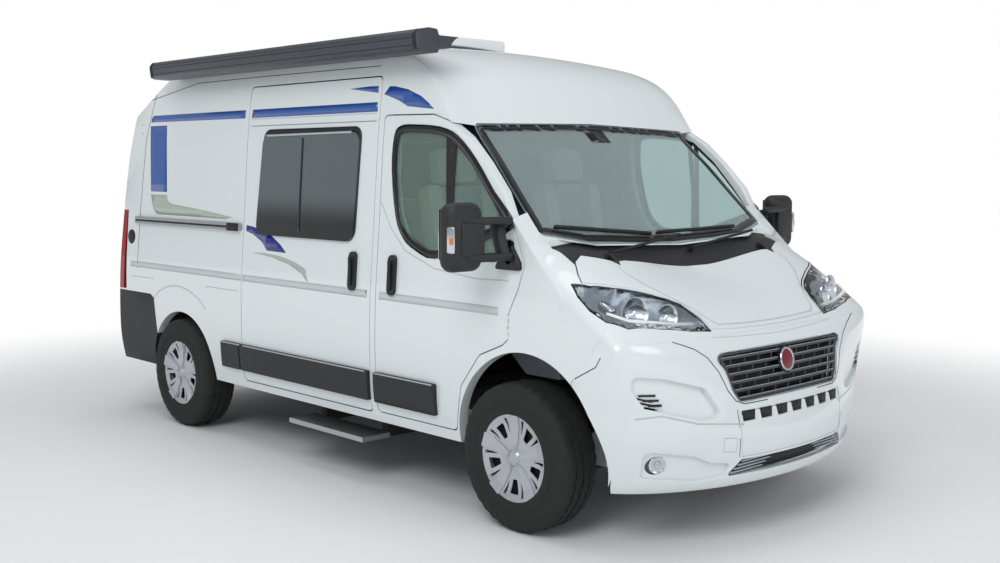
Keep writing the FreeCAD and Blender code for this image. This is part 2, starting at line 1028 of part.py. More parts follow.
def arm_slots():
    """Slots in the cowl that the bonnet's arms swing through."""
    slots = []
    for y in (-bonnet_hinge_y, bonnet_hinge_y):
        half = hinge_length / 3 + seat_gap
        back = bonnet_hinge_x - hinge_barrel_radius - shut_gap
        low = bonnet_hinge_z - bonnet_arm_fall - shut_gap
        slots.append(box(back, front_overhang, y - half, y + half, low, body_top_z))
    return slots


def bonnet_lugs():
    """Ears on the cowl that the bonnet's pins turn in."""
    ears = []
    for y in (-bonnet_hinge_y, bonnet_hinge_y):
        for side in (-1, 1):
            inner = y + side * (hinge_length / 3 + 2 * seat_gap)
            outer = y + side * hinge_length
            x = bonnet_hinge_x
            z = bonnet_hinge_z
            ear = y_cylinder(x, z, hinge_barrel_radius, inner, outer)
            leg = box(x - hinge_barrel_radius, x + hinge_barrel_radius, min(inner, outer),
                max(inner, outer), z - bonnet_arm_fall, z)
            bore = y_cylinder(x, z, hinge_pin_radius + running_clearance, y - 2 * hinge_length,
                y + 2 * hinge_length)
            ears.append(ear.fuse(leg).cut(bore))
    return ears


def rear_door_outline():
    """Right rear door seen from behind, inside the side wall all the way up."""
    count = 5
    heights = [rear_door_low + (rear_door_high - rear_door_low) * i / count for i in range(count + 1)]
    outer = [(-side_y(z) + rear_door_margin, z) for z in heights]
    return [(-shut_gap / 2, rear_door_low)] + outer + [(-shut_gap / 2, rear_door_high)]


def meeting_wedge():
    """What the rear doors' meeting edges lose towards the inside, all along the raked tail."""
    tail = [(z * roof_height, a * rear_overhang) for a, z in tail_shares]
    deep = 3 * wall
    wide = deep * meeting_slope_share
    low = rear_door_low - small_radius
    high = rear_door_high + small_radius
    rows = []
    for i in range(wedge_count + 1):
        z = low + (high - low) * i / wedge_count
        x = rear_end_x + interpolate(tail, z)
        corners = [v(x, 0, z), v(x + deep, wide, z), v(x + deep, -wide, z)]
        rows.append(Part.makePolygon(corners + corners[:1]))
    return Part.makeLoft(rows, True, True)


def carve(points, depth, radius=0.0):
    """What a recess takes off the nose inside a front outline."""
    region = cross_prism(points, wheelbase / 8, front_overhang + overrun, radius)
    return region.common(nose_solid(0.0)).cut(nose_solid(depth))


def groove(points):
    """Narrow channel along a closed front outline."""
    return carve(points, groove_depth).cut(cross_prism(points, wheelbase / 8, far, 0.0, -groove_width))


def front_bumper(shell, lamps, bonnet):
    """Bumper and front panel with its openings, recesses, blank plate panel and tow cover."""
    skin_part = shell.common(prism_y(side_points(bumper_shares), -far, far, 0.0))
    part = cut_all(skin_part, lamps + [bonnet])
    part = part.cut(cross_prism(front_points(grille_shares), wheelbase / 8, far, small_radius))
    part = part.cut(cross_prism(front_points(low_grille_shares), wheelbase / 8, far, small_radius / 2))
    first = -slot_pitch * (slot_count - 1) / 2
    for i in range(slot_count):
        middle = first + slot_pitch * i
        low = slot_low
        tool = box(wheelbase / 8, far, middle - slot_width / 2, middle + slot_width / 2, low,
            low + slot_height)
        part = part.cut(tool)
    recess = carve(front_points(side_recess_shares), side_recess_depth, small_radius)
    fog_recess = carve(front_points(fog_recess_shares), fog_recess_depth, small_radius)
    slits = []
    for i in range(slit_count):
        y0 = slit_y0 + slit_step * i
        y1 = slit_y1 + slit_step * i
        z0 = slit_top - slit_pitch * i
        z1 = z0 - (y1 - y0) * slit_lean_share
        points = [(y0, z0), (y1, z1), (y1, z1 - slit_height), (y0, z0 - slit_height)]
        slits.append(cross_prism(points, wheelbase / 8, front_overhang, 0.0))
    for tool in [recess, fog_recess] + slits:
        part = cut_all(part, both_sides(tool))
    part = cut_all(part, [groove(front_points(plate_panel_shares)), groove(front_points(tow_cover_shares))])
    for side in (-1, 1):
        part = part.cut(Part.makeCylinder(fog_radius, far, v(wheelbase / 8, side * fog_y, fog_z),
            v(1, 0, 0)))
    return largest(part)


def grille():
    """Slatted panel in the upper opening and a smaller one in the lower opening."""
    region = cross_prism(front_points(grille_shares), wheelbase / 8, far, small_radius, -seat_gap)
    upper = layer(region, nose_solid, grille_depth, grille_depth + grille_thickness)
    points = front_points(grille_shares)
    low = points[3][1]
    high = points[0][1]
    pitch = (high - low) / (slat_count + 0.5)
    for i in range(slat_count):
        z0 = low + pitch * (i + 0.45)
        upper = upper.cut(cross_prism(grown(points, -grille_frame), 0, far, 0.0).common(
            box(0, far, -half_width, half_width, z0, z0 + pitch * 0.5)))
    region = cross_prism(front_points(low_grille_shares), wheelbase / 8, far, small_radius / 2, -seat_gap)
    lower = layer(region, nose_solid, grille_depth, grille_depth + grille_thickness)
    points = front_points(low_grille_shares)
    low = points[2][1]
    high = points[0][1]
    pitch = (high - low) / (low_slat_count + 0.5)
    for i in range(low_slat_count):
        z0 = low + pitch * (i + 0.45)
        lower = lower.cut(cross_prism(grown(points, -groove_width * 2), 0, far, 0.0).common(
            box(0, far, -half_width, half_width, z0, z0 + pitch * 0.5)))
    return group([largest(upper), largest(lower)])


def fog_lamps():
    region = Part.makeCylinder(fog_radius - seat_gap, far, v(wheelbase / 8, -fog_y, fog_z), v(1, 0, 0))
    front = fog_recess_depth + fog_set_back
    right = layer(region, nose_solid, front, front + fog_thickness)
    return group(both_sides(right))


def mirror():
    """Mirror head on two arms over its triangular base."""
    head = prism_y(side_points(mirror_head_shares), -mirror_y1, -mirror_y0, small_radius)
    base = trim(side_points(mirror_base_shares), mirror_base_depth, small_radius / 2)
    parts = [base, head]
    for z in mirror_arms_z:
        start = v(mirror_arm_x, -side_y(z) - seat_gap * 4, z)
        stop = v(mirror_head_x, -mirror_y0 - small_radius, z)
        run = stop - start
        parts.append(Part.makeCylinder(mirror_arm_radius, run.Length, start, run))
    return fuse(parts).cut(side_prism(-seat_gap))


def oval(x, low, high):
    radius = handle_width / 2
    return prism_y(rectangle(x - radius, x + radius, low, high), -half_width - 4 * overrun,
        -half_width / 2, radius * 0.95)


def handle(x):
    return layer(oval(x, handle_low, handle_high), side_prism, -handle_thickness, -seat_gap)


def door_hinges(x, y, heights, toward_door, toward_body):
    """Pins and lugs of an upright hinge line, and the pockets that they need."""
    pockets = []
    door_parts = []
    body_parts = []
    for z in heights:
        pin, lugs = hinge(x, y, z, toward_door, toward_body)
        pockets.append(z_cylinder(x, y, hinge_barrel_radius + hinge_play,
            z - hinge_length - hinge_play, z + hinge_length + hinge_play))
        door_parts.append(pin)
        body_parts += lugs
    return pockets, door_parts, body_parts


def tyre(y):
    """Tyre of a right wheel, without its tread."""
    points = [v(0, -w * tyre_width, r * tyre_radius) for r, w in tyre_shares]
    bead = bead_radius + seat_gap
    foot = cover_radius + tyre_foot_rise
    points += [v(0, -w * tyre_width, r) for r,
        w in ((bead, bead_inner_share), (bead, bead_outer_share), (foot, bead_outer_share))]
    face = Part.Face(Part.makePolygon(points + points[:1]))
    solid = face.revolve(v(0, 0, 0), v(0, 1, 0), 360)
    solid.translate(v(0, -y, tyre_radius))
    return solid


def revolved(profile):
    """Ring about the Y axis from (radius, outward) points, outward being -Y."""
    points = [v(0, -out, r) for r, out in profile]
    face = Part.Face(Part.makePolygon(points + points[:1]))
    return face.revolve(v(0, 0, 0), v(0, 1, 0), 360)


def spoke_outline(r0, half0, r1, half1):
    """Tapered outline along a wheel's upright radius, in (x, z) points."""
    return [(-half0, r0), (half0, r0), (half1, r1), (-half1, r1)]


def dish(face, thickness):
    """Wheel cover's curved disc between its outer face and its back."""
    front = [(r, out + face) for r, out in cover_profile]
    back = [(r, out + face - thickness) for r, out in reversed(cover_profile)]
    return revolved(front + back)


def wheel_cover():
    """Five broad raised spokes, each between two slots, and a window in each gap."""
    cover = dish(0.0, cover_thickness)
    slots = []
    petals = []
    for i in range(spoke_count):
        turn = 360.0 / spoke_count * i
        window = prism_y(spoke_outline(*cover_window), -2 * wheel_depth, 0, cover_corner)
        window.rotate(v(0, 0, 0), v(0, 1, 0), turn + 180.0 / spoke_count)
        slots.append(window)
        for lean in (-slot_lean, slot_lean):
            slot = prism_y(spoke_outline(*cover_slot), -2 * wheel_depth, 0, 0.0)
            slot.rotate(v(0, 0, 0), v(0, 1, 0), turn + lean)
            slots.append(slot)
        petal = prism_y(spoke_outline(*cover_petal), -2 * wheel_depth, 0, cover_corner)
        petal.rotate(v(0, 0, 0), v(0, 1, 0), turn)
        petals.append(petal)
    raised = dish(petal_rise, cover_thickness + petal_rise / 2)
    cover = cut_all(cover, slots)
    return cover.fuse([raised.common(petal) for petal in petals])


def wheel(y):
    """Rim, hub and cover of a right wheel, about the wheel plane."""
    well = bead_radius - rim_thickness
    lip = bead_radius + rim_lip
    barrel = revolved([
        (well, -rim_half_width), (bead_radius, -rim_half_width), (bead_radius,
            rim_half_width - rim_thickness),
        (lip, rim_half_width - rim_thickness), (lip, rim_half_width - rim_thickness / 2), (well,
            rim_half_width - rim_thickness / 2),
    ])
    bore = stub_radius + running_clearance
    disc = revolved([
        (bore, hub_inner_y - y), (hub_radius, hub_inner_y - y), (hub_radius, disc_place),
        (well + rim_seat, disc_place), (well + rim_seat, disc_place + disc_thickness), (hub_radius,
            disc_place + disc_thickness),
        (hub_radius, hub_outer_y - y), (bore, hub_outer_y - y),
    ])
    solid = barrel.fuse([disc, wheel_cover()])
    solid.translate(v(0, -y, tyre_radius))
    return solid


def knuckle():
    """Right steering knuckle: block, upper and lower pins, and stub axle."""
    low = arm_z[0] + arm_thickness / 2 + shut_gap
    high = arm_z[1] - arm_thickness / 2 - shut_gap
    block = box(-knuckle_half, knuckle_half, -kingpin_y - knuckle_outer, -kingpin_y + knuckle_inner,
        low, high)
    pin_low = z_cylinder(0, -kingpin_y, kingpin_radius, arm_z[0] - arm_thickness, low)
    pin_high = z_cylinder(0, -kingpin_y, kingpin_radius, high, arm_z[1] + arm_thickness)
    stub = y_cylinder(0, tyre_radius, stub_radius, -kingpin_y, -stub_end_y)
    return fuse([block, pin_low, pin_high, stub])


def front_axle():
    """Crossmember with lower and upper arms, bored for the knuckle pins."""
    parts = [box(-beam_half_width, beam_half_width, -beam_half_length, beam_half_length, beam_low,
        beam_high)]
    for side in (-1, 1):
        y0, y1 = sorted((side * (beam_half_length - tower_overlap), side * tower_y))
        parts.append(box(-arm_half_width, arm_half_width, y0, y1, beam_low, arm_z[1] + arm_thickness / 2))
        y0, y1 = sorted((side * (rail_y0 + bracket_inset), side * (rail_y1 - bracket_inset)))
        parts.append(box(-bracket_half, bracket_half, y0, y1, beam_high - bracket_inset,
            floor_top - floor_thickness - rail_depth - seat_gap))
        for z in arm_z:
            y0, y1 = sorted((side * (tower_y - bracket_inset), side * kingpin_y))
            low = z - arm_thickness / 2
            parts.append(box(-arm_half_width, arm_half_width, y0, y1, low, low + arm_thickness))
            parts.append(z_cylinder(0, side * kingpin_y, arm_half_width, low, low + arm_thickness))
    whole = fuse(parts)
    for side in (-1, 1):
        whole = whole.cut(z_cylinder(0, side * kingpin_y, kingpin_radius + running_clearance, 0, floor_top))
    return whole


def rear_axle():
    """Tube with a stub at each end, on two leaf springs."""
    tube = y_cylinder(rear_axle_x, tyre_radius, axle_tube_radius, -axle_tube_end_y, axle_tube_end_y)
    stub = y_cylinder(rear_axle_x, tyre_radius, stub_radius, -stub_end_y, stub_end_y)
    parts = [tube, stub]
    top = tyre_radius + axle_tube_radius
    for side in (-1, 1):
        y0, y1 = sorted((side * (spring_y - spring_width / 2), side * (spring_y + spring_width / 2)))
        seat_x0 = rear_axle_x - spring_seat_half
        parts.append(box(seat_x0, rear_axle_x + spring_seat_half, y0, y1, tyre_radius,
            top + spring_thickness))
        for end in (-1, 1):
            rise = floor_top - floor_thickness - seat_gap
            outline = [
                (rear_axle_x, top), (rear_axle_x, top + spring_thickness),
                (rear_axle_x + end * (spring_half_length - spring_eye), rise),
                (rear_axle_x + end * (spring_half_length + spring_eye), rise),
            ]
            parts.append(prism_y(outline, y0, y1, 0.0))
    return fuse(parts)


def underbody():
    """Floor, frame rails, seat bases and wheel housings."""
    low = floor_top - floor_thickness
    inside = side_prism(wall + seat_gap).common(tail_solid(wall + seat_gap))
    floor = inside.common(box(rear_end_x, firewall_x - seat_gap, -half_width, half_width, low, floor_top))
    floor = cut_all(floor, arch_tools(0, arch_inner_y, half_width))
    parts = [floor]
    for side in (-1, 1):
        y0, y1 = sorted((side * rail_y0, side * rail_y1))
        parts.append(box(rear_end_x + rail_rear_inset, rail_front_x, y0, y1, low - rail_depth, low))
    for x, z, radius in (
        (arch_front_x, arch_front_z, arch_front_radius),
        (arch_rear_x, arch_rear_z, arch_rear_radius),
    ):
        ring = y_cylinder(x, z, radius + liner_thickness, -half_width, -arch_inner_y + liner_thickness)
        ring = ring.cut(y_cylinder(x, z, radius, -half_width - overrun, -arch_inner_y))
        ring = ring.common(box(x - 2 * radius, x + 2 * radius, -half_width, 0, z + liner_low, body_top_z))
        front_room = side_prism(wall + seat_gap).common(nose_solid(front_skin + shut_gap))
        ring = ring.common(inside if x < -half_width else front_room)
        parts += both_sides(ring)
    for side in (-1, 1):
        y0, y1 = sorted((side * (seat_y - seat_box_half), side * (seat_y + seat_box_half)))
        top = seat_base_z - cushion_depth - seat_gap
        parts.append(box(seat_x - seat_box_half, seat_x + seat_box_half, y0, y1, floor_top, top))
    return fuse(parts + step_guides())


def seat(side):
    """One cab seat: cushion, leaning back and head part in one closed form."""
    outline = [(seat_x + a * seat_length, seat_base_z - cushion_depth + b * seat_height) for a,
        b in seat_shares]
    y0, y1 = sorted((side * (seat_y - seat_width / 2), side * (seat_y + seat_width / 2)))
    return prism_y(outline, y0, y1, seat_radius)


def dashboard():
    """Dashboard from door to door, open where the steering column comes through."""
    outline = [(firewall_x - seat_gap - a * dash_depth, dash_low + b * dash_height) for a, b in dash_shares]
    solid = prism_y(outline, -dash_half_width, dash_half_width, 0.0)
    solid = solid.common(upper_solid(wall + dash_screen_gap)).common(side_prism(wall + dash_side_gap))
    column = steering_column(running_clearance + seat_gap)
    return largest(solid.cut(column))


def steering_axis():
    return Vector(-math.cos(column_rake), 0, math.sin(column_rake))


def steering_column(extra=0.0):
    axis = steering_axis()
    centre = v(wheel_x, seat_y, wheel_z)
    return Part.makeCylinder(column_radius + extra, column_length, centre - axis * column_length, axis)


def steering_wheel():
    """Rim, three spokes, hub and column."""
    axis = steering_axis()
    centre = v(wheel_x, seat_y, wheel_z)
    rim = Part.makeTorus(wheel_rim_radius, wheel_tube_radius, centre, axis)
    hub = Part.makeCylinder(hub_pad_radius, wheel_tube_radius * 2, centre - axis * wheel_tube_radius, axis)
    parts = [rim, hub, steering_column()]
    across = Vector(0, 1, 0)
    down = across.cross(axis)
    for direction in (across, across * -1, down if down.z < 0 else down * -1):
        parts.append(Part.makeCylinder(spoke_radius, wheel_rim_radius, centre, direction))
    return fuse(parts)


def awning():
    case = prism_x(front_points(awning_shares), awning_rear, awning_front, awning_corner)
    return largest(case.cut(side_prism(-seat_gap)))


def skylight():
    rear = skylight_front - skylight_length
    solid = box(rear, skylight_front, -skylight_width / 2, skylight_width / 2,
        roof_height - overrun, skylight_high)
    upper = [e for e in solid.Edges if e.BoundBox.ZMin > roof_height - overrun / 2]
    solid = solid.makeFillet(skylight_corner, upper)
    return largest(solid.cut(side_prism(-seat_gap)))


def wipers():
    """Two arms with blades, pivoted in the cowl and parked along the foot of the windscreen."""
    normal = Vector(math.sin(screen_rake), 0, math.cos(screen_rake))
    up = Vector(-math.cos(screen_rake), 0, math.sin(screen_rake))
    direction = Vector(0, math.cos(wiper_lean), 0) + up * math.sin(wiper_lean) + normal * wiper_outward_share
    parts = []
    for y in (wiper_right_y, wiper_left_y):
        foot = v(wiper_x, y, wiper_z)
        spindle = Part.makeCylinder(spindle_radius, spindle_length,
            foot - normal * (spindle_length - wiper_lift), normal)
        arm = Part.makeCylinder(wiper_arm_radius, wiper_length, foot + normal * wiper_lift, direction)
        parts.append(fuse([spindle, arm]))
    return parts


def exhaust():
    """Silencer and pipe on three hangers."""
    along = v(1, 0, 0)
    pipe = Part.makeCylinder(pipe_radius, pipe_length,
        v(rear_end_x + pipe_inset, exhaust_y, exhaust_z), along)
    drum = Part.makeCylinder(drum_radius, drum_length, v(drum_x, exhaust_y, exhaust_z), along)
    parts = [pipe, drum]
    top = floor_top - floor_thickness - seat_gap
    for x in hanger_places:
        parts.append(box(x, x + hanger_width, exhaust_y - hanger_width / 3,
            exhaust_y + hanger_width / 3, exhaust_z, top))
    return fuse(parts)


def tanks():
    """Fuel tank and waste-water tank under the floor."""
    top = floor_top - floor_thickness - seat_gap
    fuel = box(fuel_x0, fuel_x1, fuel_y0, fuel_y1, tank_low, top)
    water = box(water_x0, water_x1, water_y0, water_y1, tank_low, top)
    return group([fuel, water])


def step_arms(margin):
    """The two arms that carry the tread, grown by a margin for the guides' bores."""
    arms = []
    for middle in (step_rear + step_arm_inset, step_front - step_arm_inset):
        x0 = middle - step_arm_width / 2 - margin
        x1 = middle + step_arm_width / 2 + margin
        arms.append(box(x0, x1, -step_edge_y + step_thickness, -step_arm_end_y,
                        step_z - step_thickness - margin, step_z + margin))
    return arms


def entry_step():
    """Tread with two arms that slide under the floor."""
    tread = box(step_rear, step_front, -step_edge_y, -step_edge_y + step_depth,
        step_z - step_thickness, step_z)
    return fuse([tread] + step_arms(0))


def step_guides():
    """Channels under the floor that the step's arms slide in."""
    guides = []
    for middle in (step_rear + step_arm_inset, step_front - step_arm_inset):
        half = step_arm_width / 2 + step_guide_wall
        guide = box(middle - half, middle + half, -step_guide_y0, -step_guide_y1,
                    step_z - step_thickness - step_guide_wall, floor_top - floor_thickness)
        guides.append(cut_all(guide, step_arms(seat_gap)))
    return guides


def grow_box(shape, margin):
    b = shape.BoundBox
    return box(b.XMin - margin, b.XMax + margin, b.YMin - margin, b.YMax + margin, b.ZMin - margin,
        b.ZMax + margin)


def slide_rear_x_of(points):
    xs = [x for x, z in points]
    return min(xs), max(xs)


def engine():
    """Engine as one plain block with its mount lugs."""
    block = box(engine_x0, engine_x1, -engine_half_width, engine_half_width, engine_low, engine_high)
    lug = box(mount_x0, mount_x1, -rail_y0 + seat_gap, rail_y0 - seat_gap, mount_low, mount_high)
    return fuse([block, lug])


def build():
    body = whole_body()
    shell = body.cut(cabin_space()).cut(engine_bay())
    shell = cut_all(shell, arch_tools(0, arch_inner_y, half_width + 2 * overrun))
    margin = liner_thickness + seat_gap
    shell = cut_all(shell, arch_tools(margin, arch_inner_y - margin, half_width - arch_lip))

    door_points = side_points(front_door_shares)
    window_points = side_points(front_window_shares)
    slide_points = side_points(slide_door_shares)
    pane_points = side_points(side_window_shares)
    left_pane_points = side_points(left_window_shares)
    rear_points = rear_door_outline()
    rear_pane_points = front_points(rear_window_shares)
    screen_points = front_points(windscreen_shares)
    cowl_points = front_points(cowl_shares)

    door_cut = right_prism(door_points, door_radius)
    slide_cut = right_prism(slide_points, door_radius)
    rear_cut = cross_prism(rear_points, rear_end_x - overrun, rear_end_x + tail_reach, small_radius)
    lamps = both_sides(lamp_prism(shut_gap / 2))
    bonnet_cut = bonnet_prism(0.0)
    bumper_cut = prism_y(side_points(bumper_shares), -far, far, 0.0)
    corner_cut = prism_y(side_points(rear_corner_shares), -far, far, 0.0)
    screen_cut = cross_prism(screen_points, -wheelbase / 4, firewall_x + wall, small_radius)
    cowl_cut = cross_prism(cowl_points, cowl_x0, cowl_x1, 0.0)

    hinge_y = -side_y(front_hinge_heights[0])
    pockets, door_pins, body_lugs = door_hinges(
        front_hinge_x, hinge_y, front_hinge_heights,
        (front_hinge_x - leaf_reach, hinge_y + leaf_inset), (front_hinge_x + leaf_reach,
            hinge_y + leaf_inset))
    rear_y = -side_y(belt_height) + rear_door_margin - shut_gap / 2
    rear_pockets, rear_pins, rear_lugs = door_hinges(
        rear_hinge_x, rear_y, rear_hinge_heights,
        (rear_hinge_x + rear_leaf_reach, rear_y + leaf_reach), (rear_hinge_x + rear_leaf_reach,
            rear_y - leaf_reach))

    door = layer(right_prism(door_points, door_radius, -shut_gap), side_prism, 0.0, wall)
    door = cut_all(door, arch_tools(0, arch_inner_y, half_width + 2 * overrun))
    door = door.cut(right_prism(window_points, corner_radius))
    door = largest(cut_all(door, pockets).fuse(door_pins))
    slide = shell.common(right_prism(slide_points, door_radius, -shut_gap))
    slide = largest(slide.cut(right_prism(pane_points, corner_radius)))
    rear_leaf = cross_prism(rear_points, rear_end_x - overrun, rear_end_x + tail_reach, small_radius, -shut_gap)
    rear_door = layer(rear_leaf, tail_solid, 0.0, wall)
    rear_pane_cut = cross_prism([(-y, z) for y, z in rear_pane_points], rear_end_x - overrun,
        rear_axle_x, corner_radius)
    rear_door = rear_door.cut(rear_pane_cut)
    rear_door = rear_door.cut(meeting_wedge())
    rear_door = largest(cut_all(rear_door, rear_pockets).fuse(rear_pins))
    bonnet = largest(shell.common(bonnet_prism(-shut_gap)).cut(under_bonnet()).fuse(bonnet_arms()))
    bumper = front_bumper(shell, lamps, bonnet_cut)
    corner = shell.common(corner_cut)
    corner = largest(cut_all(corner, both_sides(rear_cut)))

    shell = cut_all(shell, both_sides(door_cut) + [slide_cut] + both_sides(rear_cut) + lamps)
    grown_bumper = prism_y(grown(side_points(bumper_shares), seat_gap), -far, far, 0.0)
    grown_corner = prism_y(grown(side_points(rear_corner_shares), seat_gap), -far, far, 0.0)
    shell = cut_all(shell, [bonnet_cut, grown_bumper, grown_corner, screen_cut, cowl_cut] + rail_slots())
    shell = shell.cut(mirrored(right_prism(left_pane_points, corner_radius)))
    tail_cut = box(rear_end_x - overrun, tail_lamp_x, -half_width - overrun, -tail_lamp_y,
        tail_lamp_low, tail_lamp_high)
    lamp = body.common(grow_box(tail_cut, -seat_gap)).cut(tail_solid(wall))
    shell = cut_all(shell, both_sides(tail_cut))
    shell = cut_all(shell,
        pockets + [mirrored(p) for p in pockets] + rear_pockets + [mirrored(p) for p in rear_pockets])
    lugs = body_lugs + [mirrored(p) for p in body_lugs] + rear_lugs + [mirrored(p) for p in rear_lugs]
    shell = largest(shell.fuse(lugs))

    deep = layer(lamp_prism(0.0).common(side_prism(lamp_set_back)), nose_solid, lamp_set_back, lamp_depth)
    lamp_right = largest(deep)

    cowl = body.cut(cabin_space())
    cowl.translate(v(-cowl_drop, 0, -cowl_drop))
    cowl = largest(cowl.common(cross_prism(cowl_points, cowl_x0 + seat_gap, cowl_x1 - seat_gap, 0.0,
        -seat_gap)))
    blades = wipers()
    cowl = largest(cut_all(cowl, [bonnet_cut] + arm_slots()).fuse(bonnet_lugs()))
    for blade in blades:
        cowl = cowl.cut(blade)

    save(shell, "body_shell")
    save(underbody(), "underbody")
    save(bumper, "front_bumper")
    save(grille(), "grille")
    save(group(both_sides(lamp_right)), "headlamps")
    save(fog_lamps(), "fog_lamps")
    save(glass_pane(screen_points, "screen"), "windscreen")
    save(cowl, "cowl_panel")
    save(group(blades), "wipers")
    save(slide, "sliding_door")
    pane = layer(right_prism(pane_points, corner_radius, -seat_gap), side_prism, -pane_stand, glass_depth)
    left_pane = layer(right_prism(left_pane_points, corner_radius, -seat_gap), side_prism,
        -pane_stand, glass_depth)
    save(group([pane, mirrored(left_pane)]), "side_windows")
    rail = trim(rectangle(slide_rail_rear, slide_rail_front, slide_rail_z - slide_rail_height / 2,
                          slide_rail_z + slide_rail_height / 2), trim_thickness, small_radius / 2)
    save(rail, "sliding_rail")
    split = slide_rear_x_of(slide_points)
    rear_piece = trim(rectangle(moulding_rear, split[0] - shut_gap, moulding_low, moulding_high),
        trim_thickness, moulding_corner)
    middle_piece = trim(rectangle(split[0] + shut_gap, split[1] - shut_gap, moulding_low,
        moulding_high), trim_thickness, moulding_corner)
    front_piece = trim(rectangle(door_points[0][0] + shut_gap, moulding_front, moulding_low,
        moulding_high), trim_thickness, moulding_corner)
    left_piece = trim(rectangle(moulding_rear, door_points[0][0] - shut_gap, moulding_low,
        moulding_high), trim_thickness, moulding_corner)
    save(group([rear_piece, middle_piece, handle(slide_handle_x), mirrored(left_piece)]), "side_trim")
    save(corner, "rear_bumper")
    save(group(both_sides(lamp)), "tail_lamps")
    save(awning(), "awning_case")
    save(skylight(), "roof_skylight")
    save(front_axle(), "front_axle")
    save(rear_axle(), "rear_axle")
    save(group([tanks()] + [exhaust()]), "tanks_and_exhaust")
    save(engine(), "engine_block")
    save(dashboard(), "dashboard")
    save(steering_wheel(), "steering_wheel")
    save(group([seat(-1), seat(1)]), "cab_seats")

    trims = [mirror(), front_piece, handle(front_handle_x)]
    pane_shape = glass_pane(window_points, "side")
    rear_pane = glass_pane([(-y, z) for y, z in rear_pane_points], "rear")
    for side, name in ((1, "right"), (-1, "left")):
        def placed(shape):
            return shape if side > 0 else mirrored(shape)
        save(placed(door), "front_door_" + name)
        save(placed(pane_shape), "front_door_glass_" + name)
        save(placed(group(trims)), "front_door_trim_" + name)
        save(placed(rear_door), "rear_door_" + name)
        save(placed(rear_pane), "rear_door_glass_" + name)
        save(placed(knuckle()), "knuckle_" + name)
        for place, x in (("front", 0.0), ("rear", rear_axle_x)):
            rim = wheel(wheel_plane_y)
            rubber = tyre(wheel_plane_y)
            rim.translate(v(x, 0, 0))
            rubber.translate(v(x, 0, 0))
            save(placed(rim), "wheel_" + place + "_" + name)
            save(placed(rubber), "tyre_" + place + "_" + name)
    save(bonnet, "bonnet")
    save(entry_step(), "entry_step")


build()
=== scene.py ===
import bpy
import bmesh
import json
import math
from mathutils import Matrix, Vector
from mathutils.bvhtree import BVHTree

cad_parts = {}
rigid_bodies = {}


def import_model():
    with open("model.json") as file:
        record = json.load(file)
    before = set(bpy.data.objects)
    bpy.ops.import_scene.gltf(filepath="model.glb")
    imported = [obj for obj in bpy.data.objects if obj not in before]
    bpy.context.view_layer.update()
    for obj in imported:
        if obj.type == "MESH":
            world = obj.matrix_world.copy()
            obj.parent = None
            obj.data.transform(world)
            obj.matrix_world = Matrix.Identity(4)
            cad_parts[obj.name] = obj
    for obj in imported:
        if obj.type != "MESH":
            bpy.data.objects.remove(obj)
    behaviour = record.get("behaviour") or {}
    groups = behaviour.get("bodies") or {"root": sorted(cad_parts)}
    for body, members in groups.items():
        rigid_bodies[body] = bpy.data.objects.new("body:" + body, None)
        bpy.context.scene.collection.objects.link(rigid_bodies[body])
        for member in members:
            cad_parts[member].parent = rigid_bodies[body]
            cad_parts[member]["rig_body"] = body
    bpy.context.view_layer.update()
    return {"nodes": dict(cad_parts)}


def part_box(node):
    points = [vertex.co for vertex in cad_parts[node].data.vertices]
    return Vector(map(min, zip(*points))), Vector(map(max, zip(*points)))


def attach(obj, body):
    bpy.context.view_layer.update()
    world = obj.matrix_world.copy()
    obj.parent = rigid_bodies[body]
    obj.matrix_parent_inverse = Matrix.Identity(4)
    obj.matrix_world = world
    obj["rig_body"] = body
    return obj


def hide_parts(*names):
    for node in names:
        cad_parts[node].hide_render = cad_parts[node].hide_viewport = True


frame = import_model()

MM = 0.001
SIDES = (("right", -1), ("left", 1))

# The camera that took the photograph, in the van's frame
CAMERA_PLACE = Vector((5.141, -4.595, 1.637))
CAMERA_HEADING = math.radians(136.07)
CAMERA_DIP = math.radians(5.57)
CAMERA_ROLL = math.radians(0.22)
CAMERA_LENS = 41.87
CAMERA_SENSOR = 36.0
CAMERA_REACH = 200.0

# Places of the running gear, in millimetres
VAN = "van"
FRONT_AXLE_X = 1500.0
REAR_AXLE_X = -1500.0
WHEEL_PLANE_Y = 905.0
TYRE_RADIUS = 341.0


# Colour, node and material helpers

THREAD_MM = 2.2


def srgb(code):
    """Linear colour of an sRGB hex value."""
    values = [int(code[i:i + 2], 16) / 255 for i in (1, 3, 5)]
    linear = [c / 12.92 if c <= 0.04045 else ((c + 0.055) / 1.055) ** 2.4 for c in values]
    return (*linear, 1.0)


def add(tree, kind, inputs=None, **settings):
    """A node with its settings, input values and links."""
    node = tree.nodes.new(kind)
    for name, value in settings.items():
        setattr(node, name, value)
    for name, value in (inputs or {}).items():
        if isinstance(value, bpy.types.NodeSocket):
            tree.links.new(value, node.inputs[name])
        else:
            node.inputs[name].default_value = value
    return node


def material(name, color, **shader):
    """A named finish; the shader's own sockets take the numbers."""
    made = bpy.data.materials.new(name)
    made.use_nodes = True
    made.diffuse_color = srgb(color)
    node = made.node_tree.nodes["Principled BSDF"]
    node.inputs["Base Color"].default_value = srgb(color)
    for socket, value in shader.items():
        node.inputs[socket.replace("_", " ")].default_value = value
    return made, made.node_tree, node


def grain(tree, size_mm, detail=2.0, stretch=(1.0, 1.0, 1.0)):
    """Noise over the piece with blotches of about size_mm."""
    place = add(tree, "ShaderNodeTexCoord")
    mapped = add(tree, "ShaderNodeMapping", {"Vector": place.outputs["Object"], "Scale": stretch})
    return add(tree, "ShaderNodeTexNoise",
               {"Vector": mapped.outputs["Vector"], "Scale": 1 / (size_mm * MM), "Detail": detail})


